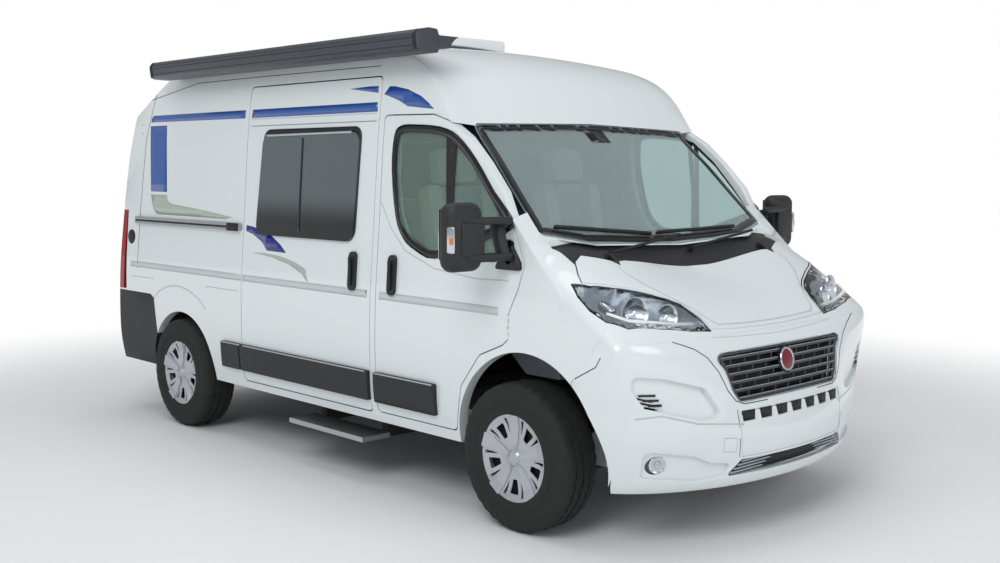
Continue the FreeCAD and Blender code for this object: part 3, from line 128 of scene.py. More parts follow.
def vary(tree, node, noise, dark, light):
    """The base colour wanders between two shades."""
    mixed = add(tree, "ShaderNodeMix", {"Factor": noise.outputs["Fac"], "A": srgb(dark), "B": srgb(light)},
                data_type="RGBA")
    tree.links.new(mixed.outputs[2], node.inputs["Base Color"])


def dent(tree, node, height, strength, depth_mm):
    """The surface rises and falls a little with a pattern."""
    bump = add(tree, "ShaderNodeBump", {"Height": height, "Strength": strength, "Distance": depth_mm * MM})
    tree.links.new(bump.outputs["Normal"], node.inputs["Normal"])


def body_enamel(name):
    """Baked gloss enamel: white under a clear lacquer, with a faint orange peel, and darker grey in patches
    towards the bottom.
    """
    made, tree, node = material(name, "#E2E9EA", Roughness=0.32, Coat_Weight=0.9, Coat_Roughness=0.04)
    peel = grain(tree, 9.0)
    dent(tree, node, peel.outputs["Fac"], 0.03, 0.3)
    # Darker towards the bottom: grey patches below 0.75 m, strongest at 0.3 m
    cloud = grain(tree, 420.0, 3.0)
    place = add(tree, "ShaderNodeTexCoord")
    split = add(tree, "ShaderNodeSeparateXYZ", {"Vector": place.outputs["Object"]})
    low = add(tree, "ShaderNodeMapRange",
              {"Value": split.outputs["Z"], "From Min": 0.75, "From Max": 0.3, "To Min": 0.0,
               "To Max": 0.35})
    film = add(tree, "ShaderNodeMath", {0: low.outputs["Result"], 1: cloud.outputs["Fac"]},
               operation="MULTIPLY")
    mixed = add(tree, "ShaderNodeMix",
                {"Factor": film.outputs[0], "A": srgb("#E2E9EA"), "B": srgb("#B9BDBE")}, data_type="RGBA")
    tree.links.new(mixed.outputs[2], node.inputs["Base Color"])
    return made


def vinyl_film(name, color, deep):
    """Cast vinyl graphics film: even satin colour that pales a little where the sun has been."""
    made, tree, node = material(name, color, Roughness=0.28, Coat_Weight=0.35, Coat_Roughness=0.12)
    vary(tree, node, grain(tree, 260.0), deep, color)
    return made


def moulded_plastic(name, color, light, rough=0.55, grain_mm=2.4, depth=0.12):
    """Injection-moulded plastic: a fine spark grain, drawn coarser than its real 0.5 mm so that it shows."""
    made, tree, node = material(name, color, Roughness=rough)
    fine = grain(tree, grain_mm, 3.0)
    vary(tree, node, grain(tree, 60.0), color, light)
    dent(tree, node, fine.outputs["Fac"], 0.35, depth)
    return made


def tyre_rubber():
    """Carbon-black rubber: matt, a little brown with dust where it is worn."""
    made, tree, node = material("vulcanised_rubber", "#1B1C1E", Roughness=0.82)
    vary(tree, node, grain(tree, 35.0, 4.0), "#151617", "#2A2A29")
    dent(tree, node, grain(tree, 3.0).outputs["Fac"], 0.4, 0.25)
    return made


def silver_lacquer():
    """Wheel-cover plastic under metallic silver lacquer: fine flake sparkle and a clear coat."""
    made, tree, node = material("silver_lacquered_plastic", "#B9BDC3", Roughness=0.34, Metallic=0.55,
                                Coat_Weight=0.5, Coat_Roughness=0.08)
    vary(tree, node, grain(tree, 1.6, 1.0), "#A9ADB4", "#C8CCD1")
    dent(tree, node, grain(tree, 1.6).outputs["Fac"], 0.08, 0.05)
    return made


def clear_pane(name, color, rough=0.0, haze=0.0):
    """Float glass or clear lens plastic: seen straight through, mirror-smooth, tinted by its colour."""
    made, tree, node = material(name, color, Roughness=rough, IOR=1.46, Transmission_Weight=1.0 - haze)
    dent(tree, node, grain(tree, 240.0).outputs["Fac"], 0.02, 0.2)
    return made


def smoked_acrylic_with_painted_reflection():
    """Cast acrylic pane, smoked almost opaque: dark at its foot, with a painted sky reflection that turns its
    base colour grey higher up.
    """
    made, tree, node = material("smoked_acrylic_with_painted_reflection", "#3A4144", Roughness=0.06, IOR=1.49, Coat_Weight=0.4,
                                Coat_Roughness=0.02)
    # Painted reflection of the sky: the base colour runs from the dark smoked tint at 1.33 m up to a lighter
    # grey at 1.5 m
    place = add(tree, "ShaderNodeTexCoord")
    split = add(tree, "ShaderNodeSeparateXYZ", {"Vector": place.outputs["Object"]})
    rise = add(tree, "ShaderNodeMapRange",
               {"Value": split.outputs["Z"], "From Min": 1.33, "From Max": 1.5, "To Min": 0.0,
                "To Max": 1.0},
               interpolation_type="SMOOTHSTEP")
    tint_and_painted_reflection = add(tree, "ShaderNodeMix",
                {"Factor": rise.outputs["Result"], "A": srgb("#1A1F1C"), "B": srgb("#5A6266")},
                data_type="RGBA")
    tree.links.new(tint_and_painted_reflection.outputs[2], node.inputs["Base Color"])
    dent(tree, node, grain(tree, 90.0).outputs["Fac"], 0.03, 0.2)
    return made


def anodised_aluminium():
    """Anodised aluminium extrusion: drawn along its length, so its streaks run along the van."""
    made, tree, node = material("anodised_aluminium", "#C3C5C6", Roughness=0.32, Metallic=0.9)
    streaks = grain(tree, 3.0, 2.0, (0.02, 1.0, 1.0))
    vary(tree, node, streaks, "#A9ABAD", "#C3C5C6")
    dent(tree, node, streaks.outputs["Fac"], 0.15, 0.08)
    return made


def powder_coat(name, color, light):
    """Powder-coated aluminium: even satin colour with a very fine texture."""
    made, tree, node = material(name, color, Roughness=0.42, Metallic=0.25)
    vary(tree, node, grain(tree, 120.0), color, light)
    dent(tree, node, grain(tree, 2.0).outputs["Fac"], 0.2, 0.08)
    return made


def chassis_paint(name, color):
    """Paint or bare casting under the van: dull, with road dust in patches."""
    made, tree, node = material(name, color, Roughness=0.7, Metallic=0.2)
    vary(tree, node, grain(tree, 90.0, 4.0), color, "#33322F")
    dent(tree, node, grain(tree, 6.0).outputs["Fac"], 0.3, 0.3)
    return made


def vacuum_chrome(name="vacuum_chrome", color="#E4E7EA", rough=0.08):
    """Aluminium vapour on plastic, as in a lamp's bowl: a bright mirror with a slight ripple."""
    made, tree, node = material(name, color, Roughness=rough, Metallic=1.0)
    dent(tree, node, grain(tree, 14.0).outputs["Fac"], 0.05, 0.2)
    return made


def seat_cloth(name, color, light):
    """Woven automotive cloth: a plain weave drawn at about 2 mm, twice its real pitch, so that it shows."""
    made, tree, node = material(name, color, Roughness=0.9, Sheen_Weight=0.25)
    place = add(tree, "ShaderNodeTexCoord")
    mapped = add(tree, "ShaderNodeMapping",
                 {"Vector": place.outputs["Object"], "Scale": [1 / (THREAD_MM * MM)] * 3})
    weave = add(tree, "ShaderNodeTexBrick",
                {"Vector": mapped.outputs["Vector"], "Scale": 1.0, "Mortar Size": 0.12})
    vary(tree, node, grain(tree, 24.0, 3.0), color, light)
    dent(tree, node, weave.outputs["Fac"], 0.4, 0.3)
    return made


PAINT = body_enamel("white_baked_enamel")
PAINT_PLASTIC = body_enamel("white_enamelled_bumper_plastic")
BLUE = vinyl_film("royal_blue_vinyl_film", "#2B5BAA", "#234E9C")
NAVY = vinyl_film("navy_blue_vinyl_film", "#14268C", "#0E1C78")
SAGE = vinyl_film("sage_grey_vinyl_film", "#B4C0B4", "#A9B5AB")
BLACK_PLASTIC = moulded_plastic("black_moulded_plastic", "#191B1D", "#26282A")
GREY_PLASTIC = moulded_plastic("slate_moulded_plastic", "#33373D", "#3D4248", 0.5)
DASH_PLASTIC = moulded_plastic("dashboard_soft_plastic", "#4A4F55", "#5A6066", 0.7, 3.0)
GLOSS_BLACK = moulded_plastic("gloss_black_plastic", "#0D0E10", "#131517", 0.16, 5.0, 0.02)
SATIN_BLACK = moulded_plastic("satin_black_rubber_seal", "#101113", "#1A1B1D", 0.6, 4.0, 0.1)
PALE_GREY = moulded_plastic("pale_grey_plastic", "#A7AEB6", "#B6BDC4", 0.4)
WHITE_PLASTIC = moulded_plastic("white_asa_plastic", "#E4E8EC", "#EDF0F3", 0.35, 6.0, 0.05)
RUBBER = tyre_rubber()
SILVER = silver_lacquer()
SCREEN = clear_pane("green_tint_windscreen_glass", "#CDE0E2", haze=0.22)
DOOR_GLASS = clear_pane("green_tint_door_glass", "#C4DFD4", haze=0.12)
CLEAR = clear_pane("clear_polycarbonate_lens", "#F2F6F8", 0.02)
SMOKED = smoked_acrylic_with_painted_reflection()
ALUMINIUM = anodised_aluminium()
AWNING_GREY = powder_coat("anthracite_powder_coat", "#3D434A", "#474D54")
CHASSIS = chassis_paint("black_chassis_paint", "#17181A")
CAST = chassis_paint("cast_metal", "#3B3C3E")
CHROME = vacuum_chrome()
RED_LENS = moulded_plastic("red_acrylic_lens", "#8E1414", "#A51A18", 0.12, 6.0, 0.15)
AMBER_LENS = moulded_plastic("amber_acrylic_lens", "#D9701E", "#E98430", 0.15, 5.0, 0.15)
BEIGE_CLOTH = seat_cloth("beige_seat_cloth", "#CFC9BC", "#DAD5CA")
BLUE_CLOTH = seat_cloth("grey_blue_seat_cloth", "#7C8994", "#8B97A1")


# Outline helpers, for closed outlines in one plane

def arc(points, steps=4):
    """Smooth closed outline through given points."""
    out = []
    count = len(points)
    for i in range(count):
        p0, p1, p2, p3 = (Vector(points[(i + k - 1) % count]) for k in range(4))
        for s in range(steps):
            t = s / steps
            out.append(tuple(0.5 * ((2 * p1) + (p2 - p0) * t + (2 * p0 - 5 * p1 + 4 * p2 - p3) * t * t
                                    + (3 * p1 - p0 - 3 * p2 + p3) * t ** 3)))
    return out


def shrink(outline, margin):
    """An outline moved towards its middle by a margin."""
    area = sum(a[0] * b[1] - b[0] * a[1] for a, b in zip(outline, outline[1:] + outline[:1])) / 2
    turn = 1 if area > 0 else -1
    moved = []
    for before, here, after in zip(outline[-1:] + outline[:-1], outline, outline[1:] + outline[:1]):
        first = (Vector(here) - Vector(before)).normalized()
        second = (Vector(after) - Vector(here)).normalized()
        normal = Vector((-first.y - second.y, first.x + second.x)).normalized() * turn
        reach = margin / max(normal.dot(Vector((-first.y, first.x)) * turn), 0.4)
        moved.append((here[0] + normal.x * reach, here[1] + normal.y * reach))
    return moved


def rounded(outline, radius_mm, steps=6):
    """A closed outline with each corner turned into an arc."""
    out = []
    for before, here, after in zip(outline[-1:] + outline[:-1], outline, outline[1:] + outline[:1]):
        first = (Vector(before) - Vector(here)).normalized() * radius_mm
        second = (Vector(after) - Vector(here)).normalized() * radius_mm
        for s in range(steps + 1):
            t = s / steps
            spot = Vector(here) + first * (1 - t) ** 2 + second * t ** 2
            out.append((spot.x, spot.y))
    return out


# Mesh helpers

WELD = 2e-5
FILM_LIFT_MM = 0.25
FILM_MM = 0.3
FILM_STEP_MM = 60.0
NEAR_CENTRE = 0.6
BESIDE_VAN = 1.5
ABOUT_SKIN = 0.98
AHEAD_OF_VAN = 3.0

trees = {}


def body_of(node):
    """The moving body that a frame node rides on."""
    return frame["nodes"][node]["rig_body"]


def piece(name, bm, finish, body=VAN, smooth=35.0, normals=True):
    """A finished bmesh as an object that rides on a body."""
    if normals:
        bmesh.ops.recalc_face_normals(bm, faces=bm.faces)
    mesh = bpy.data.meshes.new(name)
    bm.to_mesh(mesh)
    bm.free()
    made = bpy.data.objects.new(name, mesh)
    bpy.context.scene.collection.objects.link(made)
    mesh.materials.append(finish)
    mesh.shade_smooth()
    mesh.set_sharp_from_angle(angle=math.radians(smooth))
    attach(made, body)
    return made


def modify(made, kind, **settings):
    """A modifier with its settings."""
    modifier = made.modifiers.new(kind.title(), kind)
    for name, value in settings.items():
        setattr(modifier, name, value)


def skin(name, bm, finish, body, thick_mm, smooth=60.0):
    """A sheet of faces thickened outwards."""
    made = piece(name, bm, finish, body, smooth, False)
    modify(made, "SOLIDIFY", thickness=thick_mm * MM, offset=1.0)
    return made


def merged(node):
    """A welded copy of a frame node's mesh."""
    bm = bmesh.new()
    bm.from_mesh(frame["nodes"][node].data)
    bmesh.ops.remove_doubles(bm, verts=bm.verts, dist=WELD)
    return bm


def smooth_copy(node, finish, bevel_mm=1.5):
    """Stands for a frame node with the same form, smooth faces and softened edges."""
    made = piece(node + "_shell", merged(node), finish, body_of(node), 38.0, False)
    modify(made, "BEVEL", width=bevel_mm * MM, segments=2, limit_method="ANGLE",
           angle_limit=math.radians(50), harden_normals=False, use_clamp_overlap=True)
    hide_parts(node)
    return made


def surface(node):
    """A frame node's faces, ready to be searched."""
    if node not in trees:
        bm = merged(node)
        trees[node] = BVHTree.FromBMesh(bm)
        bm.free()
    return trees[node]


def on_side(node, x, z, side, lift_mm=0.0):
    """The point of a node's outer face beside a place in the side view, in metres; x and z in millimetres."""
    start = Vector((x * MM, side * BESIDE_VAN, z * MM))
    hit, normal = surface(node).ray_cast(start, Vector((0, -side, 0)))[:2]
    if hit is None or abs(hit.y) < NEAR_CENTRE:
        hit, normal = surface(node).find_nearest(Vector((x * MM, side * ABOUT_SKIN, z * MM)))[:2]
    if normal.y * side < 0:
        normal = -normal
    return hit + normal * (lift_mm * MM)


def in_front(node, y, z):
    """The point that a node shows to someone ahead of the van, in metres, or None."""
    start = Vector((AHEAD_OF_VAN, y * MM, z * MM))
    return surface(node).ray_cast(start, Vector((-1, 0, 0)))[0]


def cut_across(bm, values, unit, step_mm):
    """Parallel cuts through a flat sheet, about step_mm apart, so that it can bend over a face."""
    low, high = min(values), max(values)
    count = int((high - low) / step_mm)
    for i in range(1, count + 1):
        place = unit * (low + i * (high - low) / (count + 1)) * MM
        bmesh.ops.bisect_plane(bm, geom=bm.verts[:] + bm.edges[:] + bm.faces[:], plane_co=place,
                               plane_no=unit, dist=1e-5)


def side_patch(name, node, outline, side, finish):
    """A thin film cut to an outline in the side view and laid on a node's outer face."""
    bm = bmesh.new()
    bm.faces.new([bm.verts.new((x * MM, 0, z * MM)) for x, z in outline])
    cut_across(bm, [x for x, z in outline], Vector((1, 0, 0)), FILM_STEP_MM)
    cut_across(bm, [z for x, z in outline], Vector((0, 0, 1)), FILM_STEP_MM)
    bmesh.ops.triangulate(bm, faces=bm.faces)
    for vert in bm.verts:
        vert.co = on_side(node, vert.co.x / MM, vert.co.z / MM, side, FILM_LIFT_MM)
    for face in bm.faces:
        if face.normal.y * side < 0:
            face.normal_flip()
    return skin(name, bm, finish, body_of(node), FILM_MM)


def nose_patch(name, outline, spot, finish, thick_mm=0.5, step_mm=40.0):
    """A plate cut to an outline in the front view; spot gives each corner its place."""
    bm = bmesh.new()
    bm.faces.new([bm.verts.new((0, y * MM, z * MM)) for y, z in outline])
    cut_across(bm, [y for y, z in outline], Vector((0, 1, 0)), step_mm)
    cut_across(bm, [z for y, z in outline], Vector((0, 0, 1)), step_mm)
    bmesh.ops.triangulate(bm, faces=bm.faces)
    for vert in bm.verts:
        vert.co = spot(vert.co.y / MM, vert.co.z / MM)
    for face in bm.faces:
        face.normal_update()
        if face.normal.x < 0:
            face.normal_flip()
    return skin(name, bm, finish, VAN, thick_mm)


def block(name, size, turn, finish, body=VAN, bevel_mm=2.0, segments=3):
    """A box of size in millimetres with rounded edges, put in place by a matrix."""
    bm = bmesh.new()
    bmesh.ops.create_cube(bm, size=1.0, matrix=Matrix.Diagonal((*[s * MM for s in size], 1.0)))
    bmesh.ops.bevel(bm, geom=bm.edges[:], offset=bevel_mm * MM, segments=segments, profile=0.5,
                    affect="EDGES", material=-1)
    bmesh.ops.transform(bm, matrix=turn, verts=bm.verts)
    return piece(name, bm, finish, body)


def turned(name, section, turn, finish, body=VAN, steps=48, smooth=35.0):
    """A section of radius and height in millimetres spun about its own Z."""
    bm = bmesh.new()
    verts = [bm.verts.new((r * MM, 0, z * MM)) for r, z in section]
    edges = [bm.edges.new(pair) for pair in zip(verts, verts[1:])]
    bmesh.ops.spin(bm, geom=verts + edges, cent=(0, 0, 0), axis=(0, 0, 1), angle=math.tau, steps=steps,
                   use_merge=True)
    bmesh.ops.remove_doubles(bm, verts=bm.verts, dist=1e-5)
    bmesh.ops.transform(bm, matrix=turn, verts=bm.verts)
    return piece(name, bm, finish, body, smooth)


def close_tube(bm, rows):
    """Faces between rows of corners along a bar, and over its two ends."""
    for a, b in zip(rows, rows[1:]):
        for k in range(len(a)):
            n = (k + 1) % len(a)
            bm.faces.new((a[k], a[n], b[n], b[k]))
    bm.faces.new(rows[0])
    bm.faces.new(rows[-1][::-1])


def at(x, y, z, lean=0.0, axis="Y"):
    """A place in millimetres with a turn in degrees."""
    return Matrix.Translation(Vector((x, y, z)) * MM) @ Matrix.Rotation(math.radians(lean), 4, axis)


def toward(place, normal):
    """A matrix at a place in metres whose Z runs along the normal."""
    return Matrix.Translation(place) @ normal.to_track_quat("Z", "Y").to_matrix().to_4x4()


# Lines laid on the body

SPINE_REAR = -1.6
SPINE_FRONT = 1.2
SPINE_HIGH = 1.2


def outward(place, normal):
    """The normal turned away from the van's spine."""
    spine = Vector((min(max(place.x, SPINE_REAR), SPINE_FRONT), 0, SPINE_HIGH))
    return normal if normal.dot(place - spine) > 0 else -normal


def ribbon(name, node, places, width_mm, finish, closed=False, lift_mm=0.3, thick_mm=0.4, step_mm=25.0):
    """A strip laid along a line on a node's face; places are in millimetres and near the face."""
    points = [Vector(p) * MM for p in places]
    if closed:
        points.append(points[0])
    line = []
    for a, b in zip(points, points[1:]):
        count = max(1, int((b - a).length / (step_mm * MM)))
        line += [a.lerp(b, i / count) for i in range(count)]
    if not closed:
        line.append(points[-1])
    spots = []
    for p in line:
        place, normal = surface(node).find_nearest(p)[:2]
        spots.append((place, outward(place, normal)))
    bm = bmesh.new()
    rows = []
    total = len(spots)
    for i, (place, normal) in enumerate(spots):
        before = spots[i - 1][0] if closed or i else place
        after = spots[(i + 1) % total][0] if closed or i < total - 1 else place
        across = (after - before).cross(normal).normalized() * (width_mm * MM / 2)
        raised = place + normal * (lift_mm * MM)
        rows.append((bm.verts.new(raised - across), bm.verts.new(raised + across)))
    follow = rows[1:] + rows[:1] if closed else rows[1:]
    for (a, b), (c, d) in zip(rows, follow):
        bm.faces.new((a, b, d, c))
    for face in bm.faces:
        face.normal_update()
        if outward(face.calc_center_median(), face.normal) != face.normal:
            face.normal_flip()
    return skin(name, bm, finish, body_of(node), thick_mm)


def beside(node, places, side):
    """Points of the side view put on a node's outer face, in millimetres."""
    return [tuple(on_side(node, x, z, side) / MM) for x, z in places]


def ahead(places):
    """Points given from the front axle, in the van's frame."""
    return [(x + FRONT_AXLE_X, y, z) for x, y, z in places]


def to_side(places, side):
    """Points of the right half given from the front axle, put on one side."""
    return [(x, y * -side, z) for x, y, z in ahead(places)]


def both(places):
    """A line on the right half carried on over the middle to the left half."""
    return places + [(x, -y, z) for x, y, z in reversed(places)]


# Finishes of the frame's own nodes

WEAR = (("underbody", CHASSIS), ("front_axle", CHASSIS), ("rear_axle", CHASSIS),
        ("tanks_and_exhaust", CHASSIS), ("engine_block", CAST), ("grille", GREY_PLASTIC),
        ("headlamps", CLEAR), ("fog_lamps", CLEAR),
        ("windscreen", SCREEN), ("cowl_panel", BLACK_PLASTIC), ("wipers", SATIN_BLACK),
        ("side_windows", SMOKED), ("sliding_rail", ALUMINIUM), ("side_trim", BLACK_PLASTIC),
        ("tail_lamps", RED_LENS), ("dashboard", DASH_PLASTIC), ("steering_wheel", SATIN_BLACK),
        ("cab_seats", BEIGE_CLOTH), ("entry_step", ALUMINIUM), ("awning_case", AWNING_GREY),
        ("roof_skylight", WHITE_PLASTIC))
SIDE_WEAR = (("front_door_glass_", DOOR_GLASS), ("front_door_trim_", BLACK_PLASTIC),
             ("rear_door_glass_", SMOKED), ("knuckle_", CAST), ("wheel_front_", SILVER),
             ("tyre_front_", RUBBER), ("wheel_rear_", SILVER), ("tyre_rear_", RUBBER))

# Where the small faces of the bonnet's two hinge arms lie, in metres
LID_ARM_FRONT = 1.775
LID_ARM_Y = 0.6
LID_ARM_HALF = 0.026
LID_ARM_FACE = 0.004


def wear(node, finish):
    """Gives a frame node its finish."""
    mesh = frame["nodes"][node].data
    mesh.materials.clear()
    mesh.materials.append(finish)


def blacken_lid_arms():
    """Black plastic on the arms that the bonnet hangs on."""
    lid = bpy.data.objects["bonnet_shell"].data
    lid.materials.append(BLACK_PLASTIC)
    for face in lid.polygons:
        on_arm = face.center.x < LID_ARM_FRONT and abs(abs(face.center.y) - LID_ARM_Y) < LID_ARM_HALF
        if on_arm and face.area < LID_ARM_FACE:
            face.material_index = 1


for node, finish in WEAR:
    wear(node, finish)
for side_name, side in SIDES:
    for node, finish in SIDE_WEAR:
        wear(node + side_name, finish)
for node in ("body_shell", "sliding_door", "bonnet"):
    smooth_copy(node, PAINT)
smooth_copy("front_bumper", PAINT_PLASTIC)
for side_name, side in SIDES:
    smooth_copy("front_door_" + side_name, PAINT)
    smooth_copy("rear_door_" + side_name, PAINT)
smooth_copy("rear_bumper", BLACK_PLASTIC, 4.0)
blacken_lid_arms()


# Vinyl graphics on both sides, with outlines in millimetres: forward and up

BAND_TOP = 1967.0
BAND_LOW = 1919.0
REAR_BAND = [(-1957, 1924), (-1953, 1950), (-1931, BAND_TOP), (-757, BAND_TOP), (-770, BAND_LOW)]
DOOR_BAND = [(-744, BAND_LOW), (-738, BAND_TOP), (428, BAND_TOP), (434, BAND_LOW)]
BAR = [(-1960, 1900), (-1744, 1900), (-1702, 1477), (-1917, 1477)]
SAGE_FOOT = [(-1913, 1458), (-1700, 1458), (-1692, 1430), (-1668, 1412), (-1630, 1403), (-1271, 1376),
             (-896, 1342), (-974, 1330), (-1376, 1331), (-1800, 1332), (-1838, 1340), (-1866, 1358),
             (-1892, 1395)]
SWOOSH_REAR = [(-820, 1306), (-757, 1303), (-757, 1271), (-803, 1270)]
SWOOSH_DOOR = [(-741, 1302), (-668, 1296), (-478, 1252), (-384, 1208), (-320, 1163), (-517, 1167),
               (-567, 1211), (-665, 1252), (-741, 1268)]
SAGE_SWOOSH = [(-671, 1147), (-534, 1152), (-370, 1141), (-227, 1117), (-127, 1085), (-99, 1014),
               (-162, 1060), (-278, 1100), (-459, 1131), (-570, 1141)]
CREST_REAR = [(178, 2044), (341, 2050), (425, 2048), (425, 2014), (300, 2029)]
CREST_FRONT = [(455, 2047), (561, 2040), (661, 2021), (763, 1985), (829, 1948), (872, 1918), (786, 1926),
               (669, 1938), (594, 1970), (511, 1995), (455, 2009)]


def side_graphics(side_name, side):
    """The films of one side; some lie on the sliding door, where that side has one."""
    shell = "body_shell"
    slide = "sliding_door" if side < 0 else shell
    for name, node, outline, finish in (
            ("rear_band", shell, REAR_BAND, BLUE),
            ("door_band", slide, DOOR_BAND, BLUE),
            ("upright_bar", shell, BAR, BLUE),
            ("sage_foot", shell, SAGE_FOOT, SAGE),
            ("swoosh_rear", shell, SWOOSH_REAR, NAVY),
            ("swoosh_door", slide, SWOOSH_DOOR, NAVY),
            ("sage_swoosh", slide, SAGE_SWOOSH, SAGE),
            ("crest_rear", slide, CREST_REAR, BLUE),
            ("crest_front", shell, CREST_FRONT, BLUE)):
        side_patch(name + "_" + side_name, node, outline, side, finish)


for side_name, side in SIDES:
    side_graphics(side_name, side)


# Seams, with painted shade along pressed lines and rain gutters

# Painted shade: a darker enamel colour laid as a wide band where shade falls along the side's pressed crease
SHADED = moulded_plastic("painted_shade_in_a_pressed_band", "#C6D0D0", "#CBD4D4", 0.32, 9.0, 0.02)
# Painted shadow: a dark grey line standing for the shade inside the lower rain gutters
GUTTER = moulded_plastic("painted_shadow_in_a_rain_gutter", "#8B949B", "#929BA2", 0.4, 9.0, 0.02)
# Painted shade: a light grey line along the pressed lines, creases, ridges, lips and upper gutters
PRESSED = moulded_plastic("painted_shade_on_a_pressed_line", "#BFC8D0", "#C6CED6", 0.35, 8.0, 0.02)
BADGE_RED = moulded_plastic("dark_red_enamel", "#6E1526", "#7C1A2C", 0.2, 9.0, 0.02)
LIGHT_GUIDE = moulded_plastic("white_light_guide", "#F0F4F8", "#FFFFFF", 0.25, 9.0, 0.02)
BOWL = vacuum_chrome("satin_reflector", "#C9CFD6", 0.2)
BEZEL = vacuum_chrome("smoked_chrome_bezel", "#7D858E", 0.3)

HAIR_LINE_MM = 3.0
SEAM_MM = 4.0
GUTTER_MM = 5.0
DOOR_PRESS_MM = 6.0
RIDGE_MM = 7.0
BAND_MM = 36.0

# Lines over the nose, in millimetres from the front axle: forward, across and up
GRILLE_SEAM = [(573, -914, 969), (662, -754, 922), (705, -625, 877), (726, -558, 836), (745, -500, 769),
               (766, -456, 683), (778, -415, 637), (788, -364, 619), (793, -180, 617), (794, 0, 616)]
ARCH_SEAM = [(305, -1000, 718), (483, -1000, 815), (571, -931, 962)]
BONNET_CREASE = [(262, -640, 1212), (345, -640, 1182), (420, -602, 1142), (500, -524, 1088),
                 (570, -458, 1036), (630, -417, 985), (655, -382, 958), (662, -200, 950), (664, 0, 948)]
RECESS_RIDGE = [(606, -890, 600), (671, -795, 609), (739, -634, 563), (785, -470, 545), (806, -390, 536)]
PLATE_SEAM = [(790, -415, 600), (797, -414, 500), (800, -413, 395)]
FASCIA_LIP = [(695, -476, 911), (707, -280, 900), (715, -63, 894)]

# Lines along the sides, in millimetres: forward and up
ROOF_SEAM = [(-2028, 2150), (-1400, 2152), (-700, 2154), (0, 2152), (420, 2150)]
PANEL_SEAM = [(-1966, 2198), (-2010, 1800), (-2045, 1400), (-2063, 967)]
GUTTER_HIGH = [(-2078, 1908), (-765, 1911)]
GUTTER_LOW = [(-2071, 1852), (-765, 1854)]
SLIDE_GUTTER_HIGH = [(-738, 1911), (430, 1911)]
SLIDE_GUTTER_LOW = [(-738, 1872), (430, 1872)]
CREASE_BAND = [(-2150, 994), (-778, 994)]
CREASE_HIGH = [(-2140, 1012), (-1500, 1013), (-815, 1013)]
CREASE_LOW_REAR = [(-2140, 914), (-1830, 915)]
CREASE_LOW_FRONT = [(-1170, 914), (-815, 914)]
ARCH_FLARE = [(-1830, 790), (-1769, 836), (-1660, 876), (-1558, 890), (-1460, 886), (-1367, 868),
              (-1246, 824), (-1180, 770)]
DOOR_PRESS = [(473, 1473), (592, 1342), (713, 1233), (934, 1160), (1238, 1130), (1448, 1137)]
SLIDE_BAND = [(-758, 994), (-200, 994), (454, 994)]
SLIDE_CREASE = [(-758, 1013), (-200, 1013), (454, 1013)]
DOOR_SHADE = [(484, 994), (1392, 994)]
DOOR_CREASE = [(484, 1013), (1392, 1013)]


def nose_lines():
    """The bonnet's pressed line and the bumper's lip and ridges, drawn as painted shade, and the seams of the
    front bumper.
    """
    bumper = "front_bumper"
    ribbon("grille_seam", bumper, ahead(both(GRILLE_SEAM)), SEAM_MM, SATIN_BLACK)
    ribbon("fascia_lip", bumper, ahead(both(FASCIA_LIP)), HAIR_LINE_MM, PRESSED)
    ribbon("bonnet_crease", "bonnet", ahead(both(BONNET_CREASE)), RIDGE_MM, PRESSED)
    for side_name, side in SIDES:
        for name, line, width, finish in (
                ("arch_seam", ARCH_SEAM, SEAM_MM, SATIN_BLACK),
                ("recess_ridge", RECESS_RIDGE, RIDGE_MM, PRESSED),
                ("plate_seam", PLATE_SEAM, HAIR_LINE_MM, SATIN_BLACK)):
            ribbon(name + "_" + side_name, bumper, to_side(line, side), width, finish)


def side_lines(side_name, side):
    """Seams of one side, and its gutters, bands and pressed lines drawn as painted shade."""
    shell = "body_shell"
    slide = "sliding_door" if side < 0 else shell
    door = "front_door_" + side_name
    for name, node, line, width, finish in (
            ("roof_seam", shell, ROOF_SEAM, SEAM_MM, SATIN_BLACK),
            ("panel_seam", shell, PANEL_SEAM, SEAM_MM, SATIN_BLACK),
            ("gutter_high", shell, GUTTER_HIGH, GUTTER_MM, PRESSED),
            ("gutter_low", shell, GUTTER_LOW, GUTTER_MM, GUTTER),
            ("door_gutter_high", slide, SLIDE_GUTTER_HIGH, GUTTER_MM, PRESSED),
            ("door_gutter_low", slide, SLIDE_GUTTER_LOW, GUTTER_MM, GUTTER),
            ("crease_band", shell, CREASE_BAND, BAND_MM, SHADED),
            ("crease_high", shell, CREASE_HIGH, SEAM_MM, PRESSED),
            ("crease_low_rear", shell, CREASE_LOW_REAR, GUTTER_MM, PRESSED),
            ("crease_low_front", shell, CREASE_LOW_FRONT, GUTTER_MM, PRESSED),
            ("arch_flare", shell, ARCH_FLARE, RIDGE_MM, PRESSED),
            ("door_press", door, DOOR_PRESS, DOOR_PRESS_MM, PRESSED),
            ("slide_band", slide, SLIDE_BAND, BAND_MM, SHADED),
            ("slide_press", slide, SLIDE_CREASE, SEAM_MM, PRESSED),
            ("door_band", door, DOOR_SHADE, BAND_MM, SHADED),
            ("door_crease", door, DOOR_CREASE, SEAM_MM, PRESSED)):
        ribbon(name + "_" + side_name, node, beside(node, line, side), width, finish)


nose_lines()
for side_name, side in SIDES:
    side_lines(side_name, side)


# Grille, badge and the lower opening

